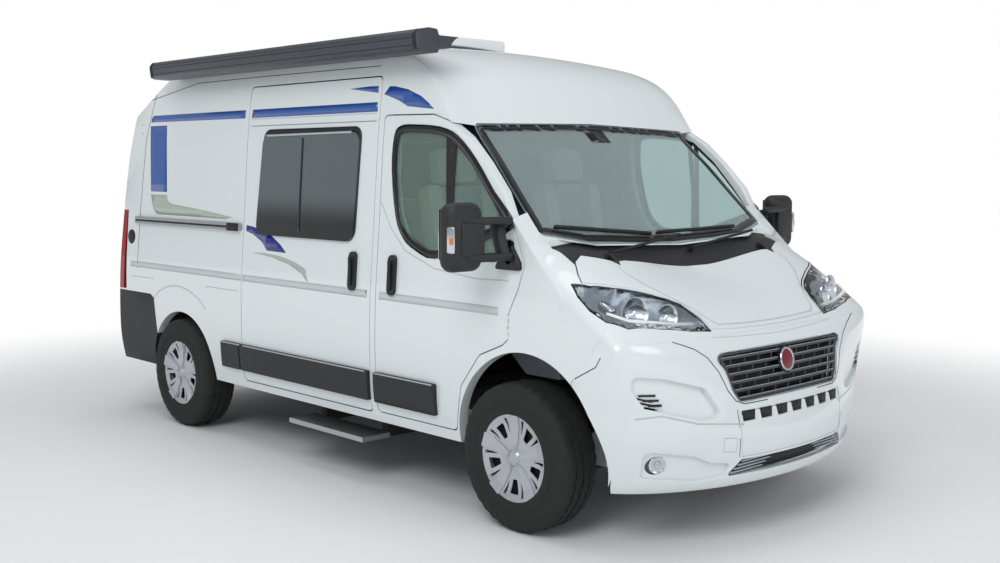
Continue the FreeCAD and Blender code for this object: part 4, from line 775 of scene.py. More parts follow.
GRILLE_FRAME = [(-498, 838), (-452, 848), (0, 850), (452, 848), (498, 838), (455, 775), (428, 690),
                (393, 632), (-393, 632), (-428, 690), (-455, 775)]
LOW_OPENING = [(-396, 378), (396, 378), (470, 318), (-470, 318)]
GRILLE_FACE_X = 2258.0
GRILLE_BOW = 5.2e-5
GRILLE_LEAN = 0.19
GRILLE_TOP = 850.0
GRILLE_REACH = ((632, 390), (690, 426), (775, 456), (830, 500), (850, 470))
GRILLE_LOW = 632.0
GRILLE_HIGH = 846.0
BACKING_MM = 4.0
BAR_COUNT = 6
BAR_MM = 13.0
BAR_BACK = 16.0
BAR_DEPTH = 14.0
BAR_ROUND = 1.5
BAR_STEPS = 16
EDGE_LOW = 10.5
EDGE_HIGH = 13.5
EDGE_BACK = 14.6
EDGE_DEPTH = 3.0
RIB_SIDE_COUNT = 4
RIB_PITCH = 102.0
RIB_BACK = 24.0
FRAME_BACK = 15.0
FRAME_OUTER = 3.0
FRAME_INNER = 15.0
FRAME_DEPTH = 16.0
LOW_BAR_COUNT = 4
LOW_BAR_FOOT = 322.0
LOW_BAR_PITCH = 15.0
LOW_BAR_MM = 6.0
LOW_BAR_DEPTH = 10.0
LOW_BAR_REACH = 452.0
LOW_BAR_TAPER = 22.0
LOW_BACK = 36.0
LOW_TOP = 382.0
LOW_LEAN = 0.45
RIM_MM = 6.0
BADGE_PLACE = (766, 0, 772)
BADGE_DEPTH = 0.016
BADGE_CUP = [(0, 0), (62, 0), (62, 8), (58, 13), (0, 13)]
BADGE_RIM = [(0, 12), (50, 12), (55, 16), (53, 19.5), (47, 19.5), (45, 17), (0, 17)]
BADGE_FACE = [(0, 19), (36, 18.6), (45, 17.2), (45, 16), (0, 16)]


def behind_grille(x_guess):
    """Places a plate a little behind the solid grille that is nearest to a guess."""
    def spot(y, z):
        """A place on the plate."""
        place = surface("grille").find_nearest(Vector((x_guess * MM - 0.08, y * MM, z * MM)))[0]
        return Vector((place.x - BACKING_MM * MM, y * MM, z * MM))
    return spot


def grille_face(y, z):
    """Front of the grille's frame at a place across the nose, in millimetres."""
    return GRILLE_FACE_X - y * y * GRILLE_BOW + max(GRILLE_TOP - z, 0) * GRILLE_LEAN


def grille_reach(z):
    """Half width of the grille's opening at a height."""
    for (z0, r0), (z1, r1) in zip(GRILLE_REACH, GRILLE_REACH[1:]):
        if z <= z1:
            return r0 + (r1 - r0) * max(z - z0, 0) / (z1 - z0)
    return GRILLE_REACH[-1][1]


def crossbar(name, low, high, reach, back_mm, depth_mm, finish):
    """A bar across the nose that follows its bow."""
    bm = bmesh.new()
    rows = []
    for step in range(-BAR_STEPS, BAR_STEPS + 1):
        y = reach * step / BAR_STEPS
        front = grille_face(y, (low + high) / 2) - back_mm
        corners = ((front, low + BAR_ROUND), (front - BAR_ROUND, low), (front - depth_mm, low),
                   (front - depth_mm, high), (front - BAR_ROUND, high), (front, high - BAR_ROUND))
        rows.append([bm.verts.new(Vector((x, y, z)) * MM) for x, z in corners])
    close_tube(bm, rows)
    return piece(name, bm, finish)


def grille_bars():
    """Bars with a bright upper edge, and short ribs between them that step sideways in each row."""
    pitch = (GRILLE_HIGH - GRILLE_LOW) / BAR_COUNT
    for i in range(BAR_COUNT):
        low = GRILLE_LOW + pitch * i + 2
        reach = grille_reach(low + 6) - 6
        crossbar("grille_bar_%d" % i, low, low + BAR_MM, reach, BAR_BACK, BAR_DEPTH, GREY_PLASTIC)
        crossbar("grille_bar_edge_%d" % i, low + EDGE_LOW, low + EDGE_HIGH, reach - 4, EDGE_BACK, EDGE_DEPTH,
                 PALE_GREY)
        for k in range(-RIB_SIDE_COUNT, RIB_SIDE_COUNT + 1):
            y = k * RIB_PITCH + (RIB_PITCH / 2 if i % 2 else 0)
            if abs(y) < reach - 12:
                middle = low + BAR_MM + (pitch - BAR_MM) / 2
                place = at(grille_face(y, low + pitch / 2) - RIB_BACK, y, middle)
                block("grille_rib_%d_%d" % (i, k + RIB_SIDE_COUNT), (9, 5, pitch - 10), place, GREY_PLASTIC,
                      bevel_mm=0.8, segments=1)


def grille_frame():
    """The ring round the bars."""
    bm = bmesh.new()
    loops = []
    for margin in (FRAME_OUTER, FRAME_INNER):
        outline = shrink(GRILLE_FRAME, margin)
        loops.append([bm.verts.new(Vector((grille_face(y, z) - FRAME_BACK, y, z)) * MM) for y, z in outline])
    outer, inner = loops
    for k in range(len(outer)):
        n = (k + 1) % len(outer)
        bm.faces.new((outer[k], outer[n], inner[n], inner[k]))
    made = piece("grille_frame", bm, GREY_PLASTIC)
    modify(made, "SOLIDIFY", thickness=FRAME_DEPTH * MM, offset=-1.0)
    return made


def grille():
    """All that fills the grille's opening and the low one under the bumper."""
    nose_patch("grille_backing", GRILLE_FRAME, behind_grille(2260), SATIN_BLACK)
    nose_patch("low_opening_backing", LOW_OPENING, behind_grille(2300), SATIN_BLACK)
    grille_bars()
    frame_ring = grille_frame()
    for i in range(LOW_BAR_COUNT):
        low = LOW_BAR_FOOT + i * LOW_BAR_PITCH
        crossbar("low_bar_%d" % i, low, low + LOW_BAR_MM, LOW_BAR_REACH - i * LOW_BAR_TAPER,
                 LOW_BACK + (LOW_TOP - low) * LOW_LEAN, LOW_BAR_DEPTH, PALE_GREY)
    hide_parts("grille")
    rim = [(grille_face(y, z) - FRONT_AXLE_X, y, z) for y, z in shrink(GRILLE_FRAME, 1)]
    ribbon("grille_rim", "front_bumper", ahead(rim), RIM_MM, PALE_GREY, closed=True, lift_mm=0.2,
           thick_mm=0.6)


def badge():
    """A bare enamelled disc in a bright rim."""
    spot = Vector(ahead([BADGE_PLACE])[0]) * MM
    turn = toward(spot - Vector((BADGE_DEPTH, 0, 0)), Vector((1, 0, GRILLE_LEAN)).normalized())
    turned("badge_cup", BADGE_CUP, turn, GLOSS_BLACK)
    turned("badge_rim", BADGE_RIM, turn, CHROME)
    turned("badge_face", BADGE_FACE, turn, BADGE_RED)


grille()
badge()


# Slots under the grille and slits beside it

SLOT_COUNT = 7
SLOT_PITCH = 116.0
SLOT_HALF = 42.0
SLOT_LOW = 546.0
SLOT_HIGH = 592.0
ABOVE_SLOTS = 604.0
BELOW_SLOTS = 536.0
SLOT_BACK = 4.0
SLIT_COUNT = 3
SLIT_PITCH = 22.0
SLIT_LOW = 695.0
SLIT_MM = 9.0
SLIT_DROP = 3.0
SLIT_INNER = (819.0, 16.0)
SLIT_OUTER = (893.0, 20.0)
RECESS_FRONT = 634.0
RECESS_LEAN = 0.55
SLIT_LIFT = 0.4


def slot_face(y, z):
    """A place right behind the line that spans a slot's mouth."""
    above = in_front("front_bumper", y, ABOVE_SLOTS)
    below = in_front("front_bumper", y, BELOW_SLOTS)
    return Vector(((above.x + below.x) / 2 - SLOT_BACK * MM, y * MM, z * MM))


def slit_face(y, z):
    """A place on the floor of the recess beside the grille."""
    guess = Vector((FRONT_AXLE_X + RECESS_FRONT + (SLIT_OUTER[0] - abs(y)) * RECESS_LEAN, y, z)) * MM
    spot = surface("front_bumper").find_nearest(guess)[0]
    return Vector((spot.x + SLIT_LIFT * MM, guess.y, guess.z))


def slots_and_slits():
    """Black linings in the seven slots, and three slits in the recess on each side."""
    for i in range(SLOT_COUNT):
        y = (i - SLOT_COUNT // 2) * SLOT_PITCH
        outline = [(y - SLOT_HALF, SLOT_LOW), (y + SLOT_HALF, SLOT_LOW), (y + SLOT_HALF, SLOT_HIGH),
                   (y - SLOT_HALF, SLOT_HIGH)]
        nose_patch("slot_lining_%d" % i, outline, slot_face, SATIN_BLACK, 0.5, 100.0)
    for side_name, side in SIDES:
        for k in range(SLIT_COUNT):
            low = SLIT_LOW - SLIT_PITCH * k
            high = low + SLIT_MM
            inner = (SLIT_INNER[0] - SLIT_INNER[1] * k) * side
            outer = (SLIT_OUTER[0] - SLIT_OUTER[1] * k) * side
            outline = [(inner, low - SLIT_DROP), (outer, low), (outer, high), (inner, high - SLIT_DROP)]
            nose_patch("slit_%d_%s" % (k, side_name), outline, slit_face, SATIN_BLACK, 0.6, 18.0)


slots_and_slits()


# Headlamps: a clear shell over a housing with two bowls, a light guide and an indicator

LAMP_TOP = [(282, -936, 1144), (344, -883, 1137), (395, -799, 1126), (448, -674, 1104), (495, -566, 1074),
            (536, -504, 1046), (604, -471, 997), (672, -461, 937)]
LAMP_LOW = [(657, -591, 947), (622, -752, 967), (571, -899, 976), (495, -951, 1002), (417, -964, 1042),
            (343, -958, 1095)]
LAMP_BOWLS = (("dipped", (545, -790, 1030), 62, 52), ("main", (597, -640, 1005), 50, 44))
LAMP_SEAL_MM = 7.0
BOWL_SET_BACK = 22.0
BOWL_STEPS = 8
GUIDE_LINE = [(640, -530, 948), (632, -640, 955), (606, -760, 972), (566, -872, 985), (500, -925, 1012)]
GUIDE_DEPTH = 14.0
GUIDE_HIGH = 12.0
FOG_RING = [(40, -4), (40, 2.5), (36, 4), (33, 2), (33, -4), (40, -4)]
FOG_BOWL = [(0, -1), (12, 1.5), (14, -1), (30, 1.2), (33, 0.5), (33, -2)]
COVER_REACH = 0.03
NEARLY_TOUCHING = 0.0005
BACK_FACING = -0.25


def is_outer(face):
    """Tells the lamp's free outer faces from those against the body."""
    place = face.calc_center_median()
    normal = face.normal
    if normal.x < BACK_FACING:
        return False
    for node in ("front_bumper", "bonnet", "body_shell"):
        if surface(node).ray_cast(place + normal * NEARLY_TOUCHING, normal, COVER_REACH)[0] is not None:
            return False
    return True


def headlamp_part(name, keep_outer, finish, thick_mm):
    """The lens, or the housing behind it, cut out of the solid lamps."""
    bm = merged("headlamps")
    bmesh.ops.recalc_face_normals(bm, faces=bm.faces)
    gone = [face for face in bm.faces if is_outer(face) != keep_outer]
    bmesh.ops.delete(bm, geom=gone, context="FACES")
    made = piece(name, bm, finish, VAN, 45.0, False)
    modify(made, "SOLIDIFY", thickness=thick_mm * MM, offset=-1.0)
    return made


def lamp_bowl(name, spot, radius, deep, side):
    """A round reflector with its bulb's shield."""
    x, y, z = spot
    face = Vector((0.92, -0.2 * -side, 0.16)).normalized()
    face.y = abs(face.y) * side
    mouth = Vector((x + FRONT_AXLE_X - BOWL_SET_BACK, -y * side, z)) * MM
    turn = toward(mouth - face * (deep * MM), face)
    bowl = [(radius * s / BOWL_STEPS, deep * (s / BOWL_STEPS) ** 2) for s in range(BOWL_STEPS + 1)]
    bowl += [(radius + 4, deep + 2), (radius + 4, deep - 8)]
    bulb = [(0, deep * 0.35), (9, deep * 0.35), (11, deep * 0.6), (8, deep * 0.78), (0, deep * 0.82)]
    side_name = "left" if side > 0 else "right"
    turned(name + "_bowl_" + side_name, bowl, turn, BOWL, smooth=60.0)
    turned(name + "_bulb_" + side_name, bulb, turn, CHROME, steps=20)


def light_guide(side_name, side):
    """The white bar along the lamp's foot."""
    bm = bmesh.new()
    rows = []
    section = ((0, 0), (-GUIDE_DEPTH, 0), (-GUIDE_DEPTH, GUIDE_HIGH), (0, GUIDE_HIGH))
    for x, y, z in ahead(GUIDE_LINE):
        place = Vector((x - GUIDE_DEPTH, -y * side, z + GUIDE_DEPTH))
        rows.append([bm.verts.new((place + Vector((dx, 0, dz))) * MM) for dx, dz in section])
    close_tube(bm, rows)
    piece("light_guide_" + side_name, bm, LIGHT_GUIDE)


def fog_lamp(side_name, side):
    """A bright ring and a reflector on the round lamp low in the bumper."""
    y, z = side * 781, 389
    place, normal = surface("fog_lamps").find_nearest(Vector((652 + FRONT_AXLE_X, y, z)) * MM)[:2]
    normal = outward(place, normal)
    spot = surface("fog_lamps").find_nearest(Vector((650 + FRONT_AXLE_X, y, z)) * MM)[0]
    turn = toward(spot, normal)
    turned("fog_ring_" + side_name, FOG_RING, turn, CHROME)
    turned("fog_bowl_" + side_name, FOG_BOWL, turn, BOWL)


def front_lamps():
    """Headlamps and fog lamps, right side first."""
    headlamp_part("headlamp_lenses", True, CLEAR, 2.0)
    housing = headlamp_part("headlamp_housings", False, BEZEL, 1.5)
    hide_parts("headlamps")
    for side_name, side in SIDES:
        ribbon("lamp_seal_" + side_name, "headlamps", to_side(LAMP_TOP + LAMP_LOW, side), LAMP_SEAL_MM,
               GLOSS_BLACK, closed=True, lift_mm=0.1, thick_mm=0.8, step_mm=15.0)
        for name, spot, radius, deep in LAMP_BOWLS:
            lamp_bowl(name, spot, radius, deep, side)
        light_guide(side_name, side)
        guard = at(440 + FRONT_AXLE_X, side * 884, 1046, 25)
        block("indicator_" + side_name, (80, 44, 40), guard, BOWL, bevel_mm=12)
        fog_lamp(side_name, side)


front_lamps()


# Windscreen, cowl and wipers

SCREEN_EDGE = [(-798, 1850), (-400, 1862), (0, 1868), (400, 1862), (798, 1850), (835, 1600), (868, 1340),
               (600, 1292), (300, 1278), (0, 1272), (-300, 1278), (-600, 1292), (-868, 1340), (-835, 1600)]
BORDER_MM = 42.0
SENSOR_MM = 150.0
BLADE_MM = 11.0
BLADE_HIGH = 16.0
BLADES = (("right", (-760, 1366), (-170, 1318)), ("left", (-120, 1322), (560, 1330)))
COWL_RIBS = 7
COWL_RIB_FOOT = 1548.0
COWL_RIB_PITCH = 21.0
COWL_RIB_MM = 6.0


def on_screen(y, z):
    """The windscreen's outer face at a place in the front view, in millimetres."""
    hit = in_front("windscreen", y, z)
    return tuple(hit / MM) if hit is not None else (1300.0 - (z - 1300) * 0.9, y, z)


def screen_and_wipers():
    """The black border and sensor patch on the windscreen, the wipers' blades and the cowl's ribs."""
    screen = "windscreen"
    edge = [on_screen(y, z) for y, z in shrink(SCREEN_EDGE, 26)]
    ribbon("screen_border", screen, edge, BORDER_MM, GLOSS_BLACK, closed=True, lift_mm=0.2, thick_mm=0.3)
    ribbon("screen_sensor", screen, [on_screen(0, 1840), on_screen(0, 1770)], SENSOR_MM, GLOSS_BLACK,
           lift_mm=0.2, thick_mm=0.3)
    for name, start, stop in BLADES:
        middle = ((start[0] + stop[0]) / 2, (start[1] + stop[1]) / 2)
        line = [on_screen(*start), on_screen(*middle), on_screen(*stop)]
        ribbon("wiper_blade_" + name, screen, line, BLADE_MM, SATIN_BLACK, lift_mm=2.0, thick_mm=BLADE_HIGH)
    for i in range(COWL_RIBS):
        x = COWL_RIB_FOOT + i * COWL_RIB_PITCH
        half = 700 - i * 14
        line = [(x - abs(y) * 0.10, y, 1400) for y in range(-half, half + 1, 70)]
        ribbon("cowl_rib_%d" % i, "cowl_panel", line, COWL_RIB_MM, BLACK_PLASTIC, lift_mm=0.0, thick_mm=3.0,
               step_mm=40.0)


screen_and_wipers()


# Window surrounds on the sides, with outlines in millimetres: forward and up

DOOR_WINDOW = [(582, 1626), (587, 1794), (632, 1841), (741, 1845), (928, 1830), (1059, 1786), (1193, 1677),
               (1324, 1532), (1463, 1376), (1200, 1290), (943, 1207), (794, 1238), (694, 1294), (630, 1397)]
QUARTER_WINDOW = [(1016, 1800), (1059, 1784), (1193, 1675), (1324, 1530), (1452, 1378), (1200, 1292),
                  (1008, 1226)]
WINDOW_POST = [(988, 1806), (1000, 1640), (1012, 1478), (1002, 1262)]
SLIDE_WINDOW = [(-625, 1268), (295, 1268), (313, 1841), (-585, 1841)]
DOOR_COLUMN = 530.0
SLIDE_COLUMN = -1100.0
SEAL_MM = 38.0
QUARTER_MM = 30.0
POST_MM = 34.0
PANE_CORNER = 60.0
PANE_FRAME_MM = 34.0
PANE_BEAD_MM = 9.0


def side_ring(name, outline, width_mm, side, node, column, finish, thick_mm, lift_mm=0.5):
    """A closed band round a window that follows the section of the body at a column beside it."""
    bm = bmesh.new()
    rows = []
    for pair in zip(outline, shrink(outline, width_mm)):
        row = []
        for x, z in pair:
            spot = on_side(node, column, z, side)
            row.append(bm.verts.new((x * MM, spot.y + side * lift_mm * MM, z * MM)))
        rows.append(row)
    for (a, b), (c, d) in zip(rows, rows[1:] + rows[:1]):
        bm.faces.new((a, b, d, c))
    for face in bm.faces:
        face.normal_update()
        if face.normal.y * side < 0:
            face.normal_flip()
    return skin(name, bm, finish, body_of(node), thick_mm)


def door_window(side_name, side):
    """The seal of a cab door's window, the frame of its front quarter and the post between them."""
    door = "front_door_" + side_name
    glass = "front_door_glass_" + side_name
    seal = arc(shrink(DOOR_WINDOW, -2), 3)
    quarter = rounded(shrink(QUARTER_WINDOW, 6), 14)
    side_ring("window_seal_" + side_name, seal, SEAL_MM, side, door, DOOR_COLUMN, GLOSS_BLACK, 3.0)
    side_ring("quarter_frame_" + side_name, quarter, QUARTER_MM, side, door, DOOR_COLUMN, SATIN_BLACK, 2.0,
              -3.0)
    ribbon("window_post_" + side_name, glass, beside(glass, WINDOW_POST, side), POST_MM, SATIN_BLACK,
           lift_mm=0.3, thick_mm=3.0)


def slide_window():
    """The frame, bead, blind rail and middle bar of the window in the sliding door."""
    pane = rounded(SLIDE_WINDOW, PANE_CORNER)
    panes = "side_windows"
    side_ring("side_window_frame", shrink(pane, -8), PANE_FRAME_MM, -1, "body_shell", SLIDE_COLUMN,
              BLACK_PLASTIC, 4.0)
    side_ring("side_window_bead", shrink(pane, 44), PANE_BEAD_MM, -1, "body_shell", SLIDE_COLUMN,
              GLOSS_BLACK, 3.0)
    ribbon("side_window_rail", panes, beside(panes, [(-560, 1822), (250, 1822)], -1), 12.0, PALE_GREY,
           lift_mm=4.3, thick_mm=1.0)
    ribbon("side_window_split", panes, beside(panes, [(-190, 1795), (-190, 1285)], -1), 16.0, GLOSS_BLACK,
           lift_mm=0.3, thick_mm=2.0)


def slide_rail():
    """The groove and stop of the sliding door's rail, and the filler cap behind it."""
    rail = "sliding_rail"
    ribbon("rail_stop", rail, [(-924, -1030, 1290), (-800, -1030, 1290)], 46.0, SATIN_BLACK, lift_mm=0.2,
           thick_mm=2.5)
    ribbon("rail_groove", rail, [(-2070, -1030, 1290), (-924, -1030, 1290)], 12.0, SATIN_BLACK, lift_mm=0.1,
           thick_mm=0.6)
    cap_turn = toward(on_side("body_shell", -2157, 1170, -1), Vector((0, -1, 0)))
    turned("rail_cap", [(0, 5), (44, 4), (50, 0), (50, -3), (0, -3)], cap_turn, SATIN_BLACK)


for side_name, side in SIDES:
    door_window(side_name, side)
slide_window()
slide_rail()


# Handles, mouldings and mirrors

GRIP = (20, 16, 150)
GRIP_Z = 1106.0
GRIP_LIFT = 8.0
MOULDING_Z = 601.0
MOULDING_LINE_MM = 7.0
MIRROR_ARM_STOP = 1.146
MIRROR_ARM_LEAN = 8.0


def grip(name, node, x, side, body):
    """The upright pull in a door handle's cup."""
    place = on_side(node, x, GRIP_Z, side)
    turn = Matrix.Translation(place + Vector((0, side * GRIP_LIFT * MM, 0)))
    block(name, GRIP, turn, SATIN_BLACK, body, 7.0, 3)


def moulding_line(name, node, start, stop, side):
    """The pale line along the top of a side moulding."""
    line = beside(node, [(start, MOULDING_Z), (stop, MOULDING_Z)], side)
    ribbon(name, node, line, MOULDING_LINE_MM, PALE_GREY, lift_mm=0.3, thick_mm=1.2)


def mirror(side_name, side):
    """A door mirror: a rounded head on two arms over a foot, with a lamp in its outer end."""
    node = "front_door_trim_" + side_name
    door = "cab_door_" + side_name
    bm = merged(node)
    gone = [v for v in bm.verts if abs(v.co.y) > MIRROR_ARM_STOP]
    bmesh.ops.delete(bm, geom=gone, context="VERTS")
    kept = piece("mirror_arms_" + side_name, bm, BLACK_PLASTIC, door, 38.0, False)
    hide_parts(node)
    lean = Matrix.Rotation(side * math.radians(MIRROR_ARM_LEAN), 4, "Z")
    for name, size, turn, finish, bevel_mm, segments in (
            ("mirror_head_", (112, 196, 300), at(1404, side * 1232, 1338), BLACK_PLASTIC, 50.0, 8),
            ("mirror_cowl_", (40, 132, 150), at(1452, side * 1212, 1330), BLACK_PLASTIC, 14.0, 4),
            ("mirror_arm_upper_", (44, 250, 34), at(1458, side * 1120, 1408) @ lean, BLACK_PLASTIC, 13.0, 4),
            ("mirror_arm_lower_", (44, 250, 38), at(1458, side * 1120, 1248) @ lean, BLACK_PLASTIC, 13.0, 4),
            ("mirror_foot_", (62, 52, 176), at(1441, side * 1034, 1322, -18), BLACK_PLASTIC, 22.0, 5),
            ("mirror_glass_", (3, 150, 220), at(1349, side * 1236, 1350), CHROME, 1.2, 2),
            ("indicator_shell_", (56, 20, 118), at(1430, side * 1318, 1330), BOWL, 8.0, 4),
            ("indicator_lamp_", (22, 8, 30), at(1448, side * 1325, 1326), AMBER_LENS, 3.0, 2)):
        block(name + side_name, size, turn, finish, door, bevel_mm, segments)


def side_fittings(side_name, side):
    """What hangs on one side: the right has the sliding door's own grip and a break in its moulding."""
    trim = "front_door_trim_" + side_name
    grip("cab_grip_" + side_name, trim, 630, side, "cab_door_" + side_name)
    if side < 0:
        grip("slide_grip_" + side_name, "side_trim", 305, side, VAN)
        moulding_line("moulding_edge_rear_" + side_name, "side_trim", -975, -765, side)
        moulding_line("moulding_edge_middle_" + side_name, "side_trim", -730, 430, side)
    else:
        moulding_line("moulding_edge_middle_" + side_name, "side_trim", -975, 430, side)
    moulding_line("moulding_edge_door_" + side_name, trim, 510, 960, side)
    mirror(side_name, side)


for side_name, side in SIDES:
    side_fittings(side_name, side)


# Wheels and tyres

TYRE_SIDE = [(0.575, -0.82), (0.585, -0.97), (0.66, -1.0), (0.70, -0.985), (0.705, -0.998), (0.72, -0.998),
             (0.725, -0.98), (0.80, -0.99), (0.86, -0.975), (0.905, -0.955), (0.945, -0.91), (0.972, -0.85)]
TYRE_CROWN = [(0.990, -0.74), (0.998, -0.56), (0.997, -0.47), (0.974, -0.46), (0.974, -0.40), (1.0, -0.39),
              (1.0, -0.06), (0.974, -0.05)]
TREAD_STEPS = 108
SIPE_SHARE = 0.018
NOTCH_M = 0.004
COVER_BACK = 52.0
CENTRE_REACH = 97.0


def tread_reach(share, across, step, radius):
    """How far from the axle a point of the tyre's section lies, with blocks cut in every third step."""
    stagger = (1 if across > 0 else 0) + (1 if abs(across) < 0.3 else 0)
    low_block = abs(across) < 0.80 and share > 0.985 and (step + stagger) % 3 == 0
    reach = (share - (SIPE_SHARE if low_block else 0.0)) * radius * MM
    if 0.93 < share < 0.975 and abs(across) > 0.8 and step % 3 == 0:
        reach -= NOTCH_M
    return reach


def tread_tyre(end, side_name):
    """A tyre with a bead line, shoulder notches, grooves and blocks."""
    node = "tyre_" + end + "_" + side_name
    lowest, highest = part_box(node)
    middle = [(a + b) / 2 for a, b in zip(lowest, highest)]
    radius = (highest[2] - lowest[2]) / 2 / MM
    half = (highest[1] - lowest[1]) / 2 / MM
    right = TYRE_SIDE + TYRE_CROWN
    section = right + [(r, -w) for r, w in reversed(right)]
    bm = bmesh.new()
    rings = []
    for s in range(TREAD_STEPS):
        angle = math.tau * s / TREAD_STEPS
        ring_verts = []
        for r, w in section:
            reach = tread_reach(r, w, s, radius)
            ring_verts.append(bm.verts.new((middle[0] + reach * math.cos(angle), middle[1] + w * half * MM,
                                            middle[2] + reach * math.sin(angle))))
        rings.append(ring_verts)
    for a, b in zip(rings, rings[1:] + rings[:1]):
        for k in range(len(section) - 1):
            bm.faces.new((a[k], a[k + 1], b[k + 1], b[k]))
    made = piece("tread_" + node, bm, RUBBER, body_of(node), 30.0)
    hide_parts(node)


def wheel(end, side_name, side, x):
    """A wheel's cover with a dark disc behind its openings and a bare centre."""
    corner = end + "_" + side_name
    body = "road_wheel_" + corner
    outside = Vector((0, side, 0))
    centre = Vector((x, side * (WHEEL_PLANE_Y + COVER_BACK), TYRE_RADIUS)) * MM
    hub = Vector((x, side * (WHEEL_PLANE_Y + CENTRE_REACH), TYRE_RADIUS)) * MM
    disc = [(40, 0), (186, 0), (186, 3), (40, 3), (40, 0)]
    turned("wheel_shadow_" + corner, disc, toward(centre, outside), SATIN_BLACK, body, 40)
    smooth_copy("wheel_" + corner, SILVER, 1.2)
    cap = [(0, 0.8), (20, 0.6), (24, -1), (0, -1)]
    turned("wheel_centre_" + corner, cap, toward(hub, outside), PALE_GREY, body)


for side_name, side in SIDES:
    for end, x in (("front", FRONT_AXLE_X), ("rear", REAR_AXLE_X)):
        tread_tyre(end, side_name)
        wheel(end, side_name, side, x)


# Cab: seats and dashboard

SEAT_Y = 430.0
PAD_CUTS = 7


def pad(name, size, turn, finish, crown_mm):
    """A stuffed cushion of size in millimetres, fullest in its middle, with softly drawn-in edges."""
    bm = bmesh.new()
    bmesh.ops.create_cube(bm, size=2.0)
    bmesh.ops.subdivide_edges(bm, edges=bm.edges[:], cuts=PAD_CUTS, use_grid_fill=True)
    for vert in bm.verts:
        u, w, t = vert.co
        full = (1 - u * u) * (1 - w * w)
        vert.co.z = t * (1 - 0.16 * (u ** 6 + w ** 6) / 2) * size[2] / 2 + (crown_mm * full if t > 0 else 0)
        corner = 1 - 0.05 * (u * u * w * w) - 0.03 * t * t
        vert.co.x = u * size[0] / 2 * corner
        vert.co.y = w * size[1] / 2 * corner
    bmesh.ops.scale(bm, vec=(MM, MM, MM), verts=bm.verts)
    bmesh.ops.transform(bm, matrix=turn, verts=bm.verts)
    made = piece(name, bm, finish, VAN, 80.0)
    modify(made, "SUBSURF", levels=1, render_levels=1)
    return made


def seat(side_name, side):
    """One cab seat of padded pieces; its cushion comes first."""
    y = side * SEAT_Y
    made = []
    for name, size, turn, finish, crown in (
            ("cushion", (430, 300, 110), at(790, y, 925, -3), BLUE_CLOTH, 14),
            ("cushion_bolster_in", (440, 100, 118), at(785, y - 195, 930, -3), BEIGE_CLOTH, 10),
            ("cushion_bolster_out", (440, 100, 118), at(785, y + 195, 930, -3), BEIGE_CLOTH, 10),
            ("back", (560, 280, 90), at(530, y, 1270, -100), BLUE_CLOTH, 12),
            ("back_bolster_in", (570, 100, 112), at(528, y - 185, 1265, -100), BEIGE_CLOTH, 10),
            ("back_bolster_out", (570, 100, 112), at(528, y + 185, 1265, -100), BEIGE_CLOTH, 10),
            ("headrest", (190, 270, 90), at(448, y, 1645, -100), BEIGE_CLOTH, 12),
            ("armrest_in", (260, 55, 60), at(640, y - 228, 1170, 0), BEIGE_CLOTH, 4),
            ("armrest_out", (260, 55, 60), at(640, y + 228, 1170, 0), BEIGE_CLOTH, 4)):
        made.append(pad("seat_%s_%s" % (name, side_name), size, turn, finish, crown))
    return made


def dashboard():
    """The dashboard with its hood, screen and four air vents."""
    smooth_copy("dashboard", DASH_PLASTIC, 8.0)
    block("instrument_hood", (150, 380, 90), at(1130, 430, 1235), DASH_PLASTIC, bevel_mm=30)
    block("dash_screen", (12, 190, 110), at(1095, 20, 1190, -12), GLOSS_BLACK, bevel_mm=4)
    for i, y in enumerate((-700, -160, 160, 720)):
        block("air_vent_%d" % i, (10, 120, 60), at(1090, y, 1165), SATIN_BLACK, bevel_mm=4)


for side_name, side in SIDES:
    pads = seat(side_name, side)
    if side < 0:
        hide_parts("cab_seats")
dashboard()


# Awning, skylight and tail

AWNING_Y = -1090.0
AWNING_SEAMS = (2272, 2240, 2205)
AWNING_ENDS = (-1645, 910)
AWNING_END_MM = 26.0
TAIL_X = -2330.0
TAIL_LAMP_Y = 955.0
TAIL_LAMP_MM = 46.0


def awning():
    """The awning's case with its seams and end rings, and the skylight."""
    case = "awning_case"
    smooth_copy(case, AWNING_GREY, 1.5)
    smooth_copy("roof_skylight", WHITE_PLASTIC, 2.0)
    for i, z in enumerate(AWNING_SEAMS):
        line = [(-1655, AWNING_Y, z), (-400, AWNING_Y, z), (920, AWNING_Y, z)]
        ribbon("awning_seam_%d" % i, case, line, SEAM_MM, SATIN_BLACK, lift_mm=0.1)
    for i, x in enumerate(AWNING_ENDS):
        line = [(x, -1060, 2285), (x, AWNING_Y, 2255), (x, AWNING_Y, 2215), (x, -1060, 2180)]
        ribbon("awning_end_%d" % i, case, line, AWNING_END_MM, SATIN_BLACK, lift_mm=0.2, thick_mm=1.2,
               step_mm=12.0)


def tail():
    """Lenses in the tail lamps, the rear door's handle and the high brake lamp."""
    for side_name, side in SIDES:
        for name, low, high, finish in (("reversing", 1040, 1110, LIGHT_GUIDE),
                                        ("turn", 1125, 1215, AMBER_LENS)):
            line = [(TAIL_X, side * TAIL_LAMP_Y, low), (TAIL_X, side * TAIL_LAMP_Y, high)]
            ribbon("tail_" + name + "_" + side_name, "tail_lamps", line, TAIL_LAMP_MM, finish, lift_mm=0.4,
                   thick_mm=1.5)
    block("tail_handle", (22, 150, 34), at(-2350, -120, 1010), SATIN_BLACK, "tail_door_right", 7.0, 3)
    ribbon("high_brake_lamp", "body_shell", [(-2090, -110, 2040), (-2090, 110, 2040)], 26.0, RED_LENS,
           lift_mm=0.5, thick_mm=5.0)


awning()
tail()


# Camera, floor and light

